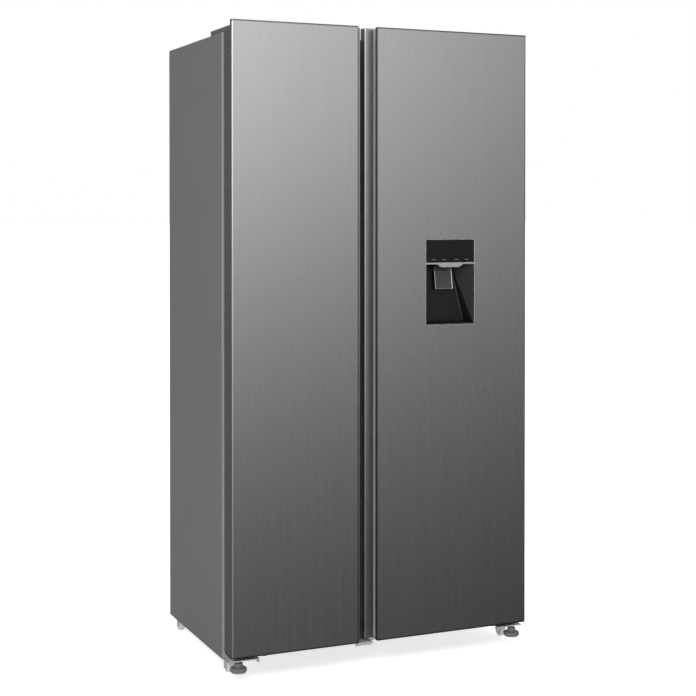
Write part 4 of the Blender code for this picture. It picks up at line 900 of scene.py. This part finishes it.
def bin_rim_path(low, high):
    """Along one side of the bin, round its two free corners and back along the other side."""
    level = high.z - BIN_RIM_DROP
    bend = BIN_BEND - BIN_INSET
    points = [(low.x + BIN_INSET, low.y + BIN_RIM_START, level)]
    for x, first_angle in ((low.x + BIN_BEND, math.pi), (high.x - BIN_BEND, math.pi / 2)):
        for step in range(BIN_BEND_STEPS + 1):
            angle = first_angle - math.pi / 2 * step / BIN_BEND_STEPS
            points.append((x + math.cos(angle) * bend, high.y - BIN_BEND + math.sin(angle) * bend, level))
    points.append((high.x - BIN_INSET, low.y + BIN_RIM_START, level))
    return points


def make_bin_rims():
    """A white bead along the open top of each door bin."""
    for name in ("freezer_bin_upper", "freezer_bin_lower", "fridge_bin_upper", "fridge_bin_lower"):
        bm = bmesh.new()
        add_tube(bm, bin_rim_path(*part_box(name)), BIN_RIM_RADIUS)
        piece(name + "_rim", bm, name.split("_")[0] + "_door", "white_plastic", None, 0.0, True)


def make_drawer_fronts():
    """A ribbed white face under the grip of each drawer."""
    for name in ("freezer_drawer_lower", "freezer_drawer_upper", "crisper_lower", "crisper_upper"):
        low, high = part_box(name)
        front = low.y + DRAWER_GRIP_DEPTH
        bm = bmesh.new()
        outline = rounded_outline((low.x + FRONT_SIDE, low.z + FRONT_BOTTOM),
                                  (high.x - FRONT_SIDE, high.z - FRONT_TOP), FRONT_CORNER)
        add_prism(bm, outline, "Y", front - 0.0024, front + 0.0002)
        for step in range(3):
            level = low.z + RIDGE_START + step * RIDGE_PITCH
            ridge = rounded_outline((low.x + RIDGE_SIDE, level - RIDGE_HALF),
                                    (high.x - RIDGE_SIDE, level + RIDGE_HALF), RIDGE_CORNER, 3)
            add_prism(bm, ridge, "Y", front - 0.0036, front - 0.0020)
        piece(name + "_front", bm, name, "white_plastic", None, 0.0006)


def make_tank_lid():
    """A toothed cap with a knob, over the mouth of the water tank."""
    low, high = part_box("water_tank")
    centre = ((low.x + high.x) / 2, (low.y + high.y) / 2, high.z)
    profile = [(0.0, 0.0095), (0.006, 0.0095), (0.0070, 0.0040), (0.0225, 0.0036), (0.0245, 0.0022),
               (0.0245, 0.0003), (0.0190, 0.0003), (0.0190, -0.0060), (0.0, -0.0060)]
    bm = bmesh.new()
    add_turned(bm, profile, centre, "Z", LID_STEPS)
    add_around(bm, centre, "Z", LID_TEETH,
               lambda: add_block(bm, (0.0242, -0.0008, 0.0004), (0.0250, 0.0008, 0.0022)))
    piece("water_tank_lid", bm, "fridge_door", "white_plastic", None, 0.0, True)


# ---------------------------------------------------------------- back and machine room

WASHER_RADIUS = 0.0055
HEAD_RADIUS = 0.0034
HEAD_TOP_RADIUS = 0.0028
COVER_SCREW_PLACES = (-0.96, -0.5, 0.0, 0.5, 0.96)
COVER_SCREW_MARGIN = 0.010
COVER_SCREW_REACH = 0.0030
HINGE_SCREW_PLACES = (0.30, 0.82)
HINGE_SCREW_REACH = 0.0026
SCREW_SINK = 0.0002
DISCHARGE_RADIUS = 0.0030
SUCTION_RADIUS = 0.0040
PIPE_DROP = 0.020


def make_screw(bm, centre, axis, reach):
    """A hexagonal head on a washer."""
    washer = reach * 0.3
    add_turned(bm, [(WASHER_RADIUS, 0.0), (WASHER_RADIUS, washer), (0.0, washer)], centre, axis, 20)
    head = [(HEAD_RADIUS, washer), (HEAD_RADIUS, reach * 0.85), (HEAD_TOP_RADIUS, reach), (0.0, reach)]
    add_turned(bm, head, centre, axis, 6)


def make_screws():
    low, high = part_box("machine_cover")
    bm = bmesh.new()
    for across in COVER_SCREW_PLACES:
        for level in (low.z + COVER_SCREW_MARGIN, high.z - COVER_SCREW_MARGIN):
            make_screw(bm, (high.x * across, high.y, level), "Y", COVER_SCREW_REACH)
    piece("machine_cover_screws", bm, "cabinet", "zinc")
    for label in ("left", "right"):
        low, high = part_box("hinge_cover_" + label)
        middle_x = (low.x + high.x) / 2
        bm = bmesh.new()
        for share in HINGE_SCREW_PLACES:
            y = low.y + (high.y - low.y) * share
            make_screw(bm, (middle_x, y, high.z - SCREW_SINK), "Z", HINGE_SCREW_REACH)
        piece("hinge_cover_screws_" + label, bm, "cabinet", "zinc")


def make_pipes():
    """The discharge pipe to the condenser and the suction pipe of the compressor."""
    low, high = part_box("compressor")
    condenser_low, condenser_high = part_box("condenser")
    y = (low.y + high.y) / 2
    top = high.z - PIPE_DROP
    discharge = [(high.x - 0.030, y, top - 0.03), (high.x - 0.012, y, top - 0.012), (high.x + 0.010, y, top),
                 (high.x + 0.10, y, top + 0.002), (condenser_low.x - 0.02, y, top + 0.002),
                 (condenser_low.x + 0.004, y, top), (condenser_low.x + 0.010, y, condenser_high.z - 0.012)]
    suction = [(low.x + 0.030, y, top - 0.03), (low.x + 0.010, y, top - 0.008), (low.x - 0.012, y, top),
               (low.x - 0.050, y, top + 0.004), (low.x - 0.060, y, top + 0.012),
               (low.x - 0.062, y, high.z + 0.012)]
    for name, path, radius in (("discharge_pipe", discharge, DISCHARGE_RADIUS),
                               ("suction_pipe", suction, SUCTION_RADIUS)):
        bm = bmesh.new()
        add_tube(bm, path, radius)
        piece(name, bm, "cabinet", "bare_aluminium", "copper", 0.0, True)


# ---------------------------------------------------------------- underneath

FOOT_RIBS = 26
RIB_SINK = 0.0012
RIB_RISE = 0.0003
RIB_HALF_BASE = 0.0011
RIB_HALF_TOP = 0.0006
RIB_SPAN = (0.11, 0.35)
STUD_START = 0.86
STUD_ROOT = 0.0060
STUD_CREST = 0.0066
THREAD_PITCH = 0.0009
THREAD_TURNS = 4
HUB_RIM = (0.80, 0.68)
HUB_BOSS = (0.36, 0.24)
HUB_SINK = 0.0006
HUB_RISE = 0.0002
SPOKES = 5
SPOKE_SPAN = (0.34, 0.70)
SPOKE_HALF = 0.0008
SPOKE_RISE = 0.00015


def make_feet():
    """The ribs around each levelling foot and the thread of its stud."""
    for label in ("left", "right"):
        body = "foot_" + label
        low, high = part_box(body)
        centre = Vector(((low.x + high.x) / 2, (low.y + high.y) / 2, low.z))
        radius = (high.x - low.x) / 2
        height = high.z - low.z
        rib = [(radius - RIB_SINK, -RIB_HALF_BASE), (radius + RIB_RISE, -RIB_HALF_TOP),
               (radius + RIB_RISE, RIB_HALF_TOP), (radius - RIB_SINK, RIB_HALF_BASE)]
        bm = bmesh.new()
        add_around(bm, centre, "Z", FOOT_RIBS,
                   lambda: add_prism(bm, rib, "Z", height * RIB_SPAN[0], height * RIB_SPAN[1]))
        piece("foot_ribs_" + label, bm, body, "grey_plastic")

        stud = [(STUD_ROOT, height * STUD_START)]
        for turn in range(THREAD_TURNS):
            level = height * STUD_START + THREAD_PITCH * (turn + 0.5)
            stud += [(STUD_CREST, level), (STUD_ROOT, level + THREAD_PITCH / 2)]
        stud.append((STUD_ROOT, height - 0.0002))
        bm = bmesh.new()
        add_turned(bm, stud, centre, "Z", 16)
        piece("foot_stud_" + label, bm, body, "zinc")


def make_rollers():
    """A rim, a boss and spokes on both faces of each roller."""
    for name in ("roller_front_left", "roller_front_right", "roller_rear_left", "roller_rear_right"):
        low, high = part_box(name)
        centre = (low + high) / 2
        radius = (high.z - low.z) / 2
        half = (high.x - low.x) / 2
        bm = bmesh.new()
        for side in (-1, 1):
            inner = side * (half - HUB_SINK)
            outer = side * (half + HUB_RISE)
            for wide, narrow in (HUB_RIM, HUB_BOSS):
                add_ring(bm, [(radius * wide, inner), (radius * wide, outer), (radius * narrow, outer),
                              (radius * narrow, inner)], centre)
            spoke_low, spoke_high = sorted((inner, side * (half + SPOKE_RISE)))
            add_around(bm, centre, "X", SPOKES,
                       lambda: add_block(bm, (spoke_low, radius * SPOKE_SPAN[0], -SPOKE_HALF),
                                         (spoke_high, radius * SPOKE_SPAN[1], SPOKE_HALF)))
        piece(name + "_hub", bm, name, "roller_nylon")


make_camera()
make_world()
make_floor()
make_area_light("key", *KEY_LIGHT)
make_area_light("top", *TOP_LIGHT)
dress_nodes()
make_dispenser()
make_channel_trims()
make_centre_bracket()
make_shelf_trims()
make_lamps()
make_bin_rims()
make_drawer_fronts()
make_tank_lid()
make_screws()
make_pipes()
make_feet()
make_rollers()
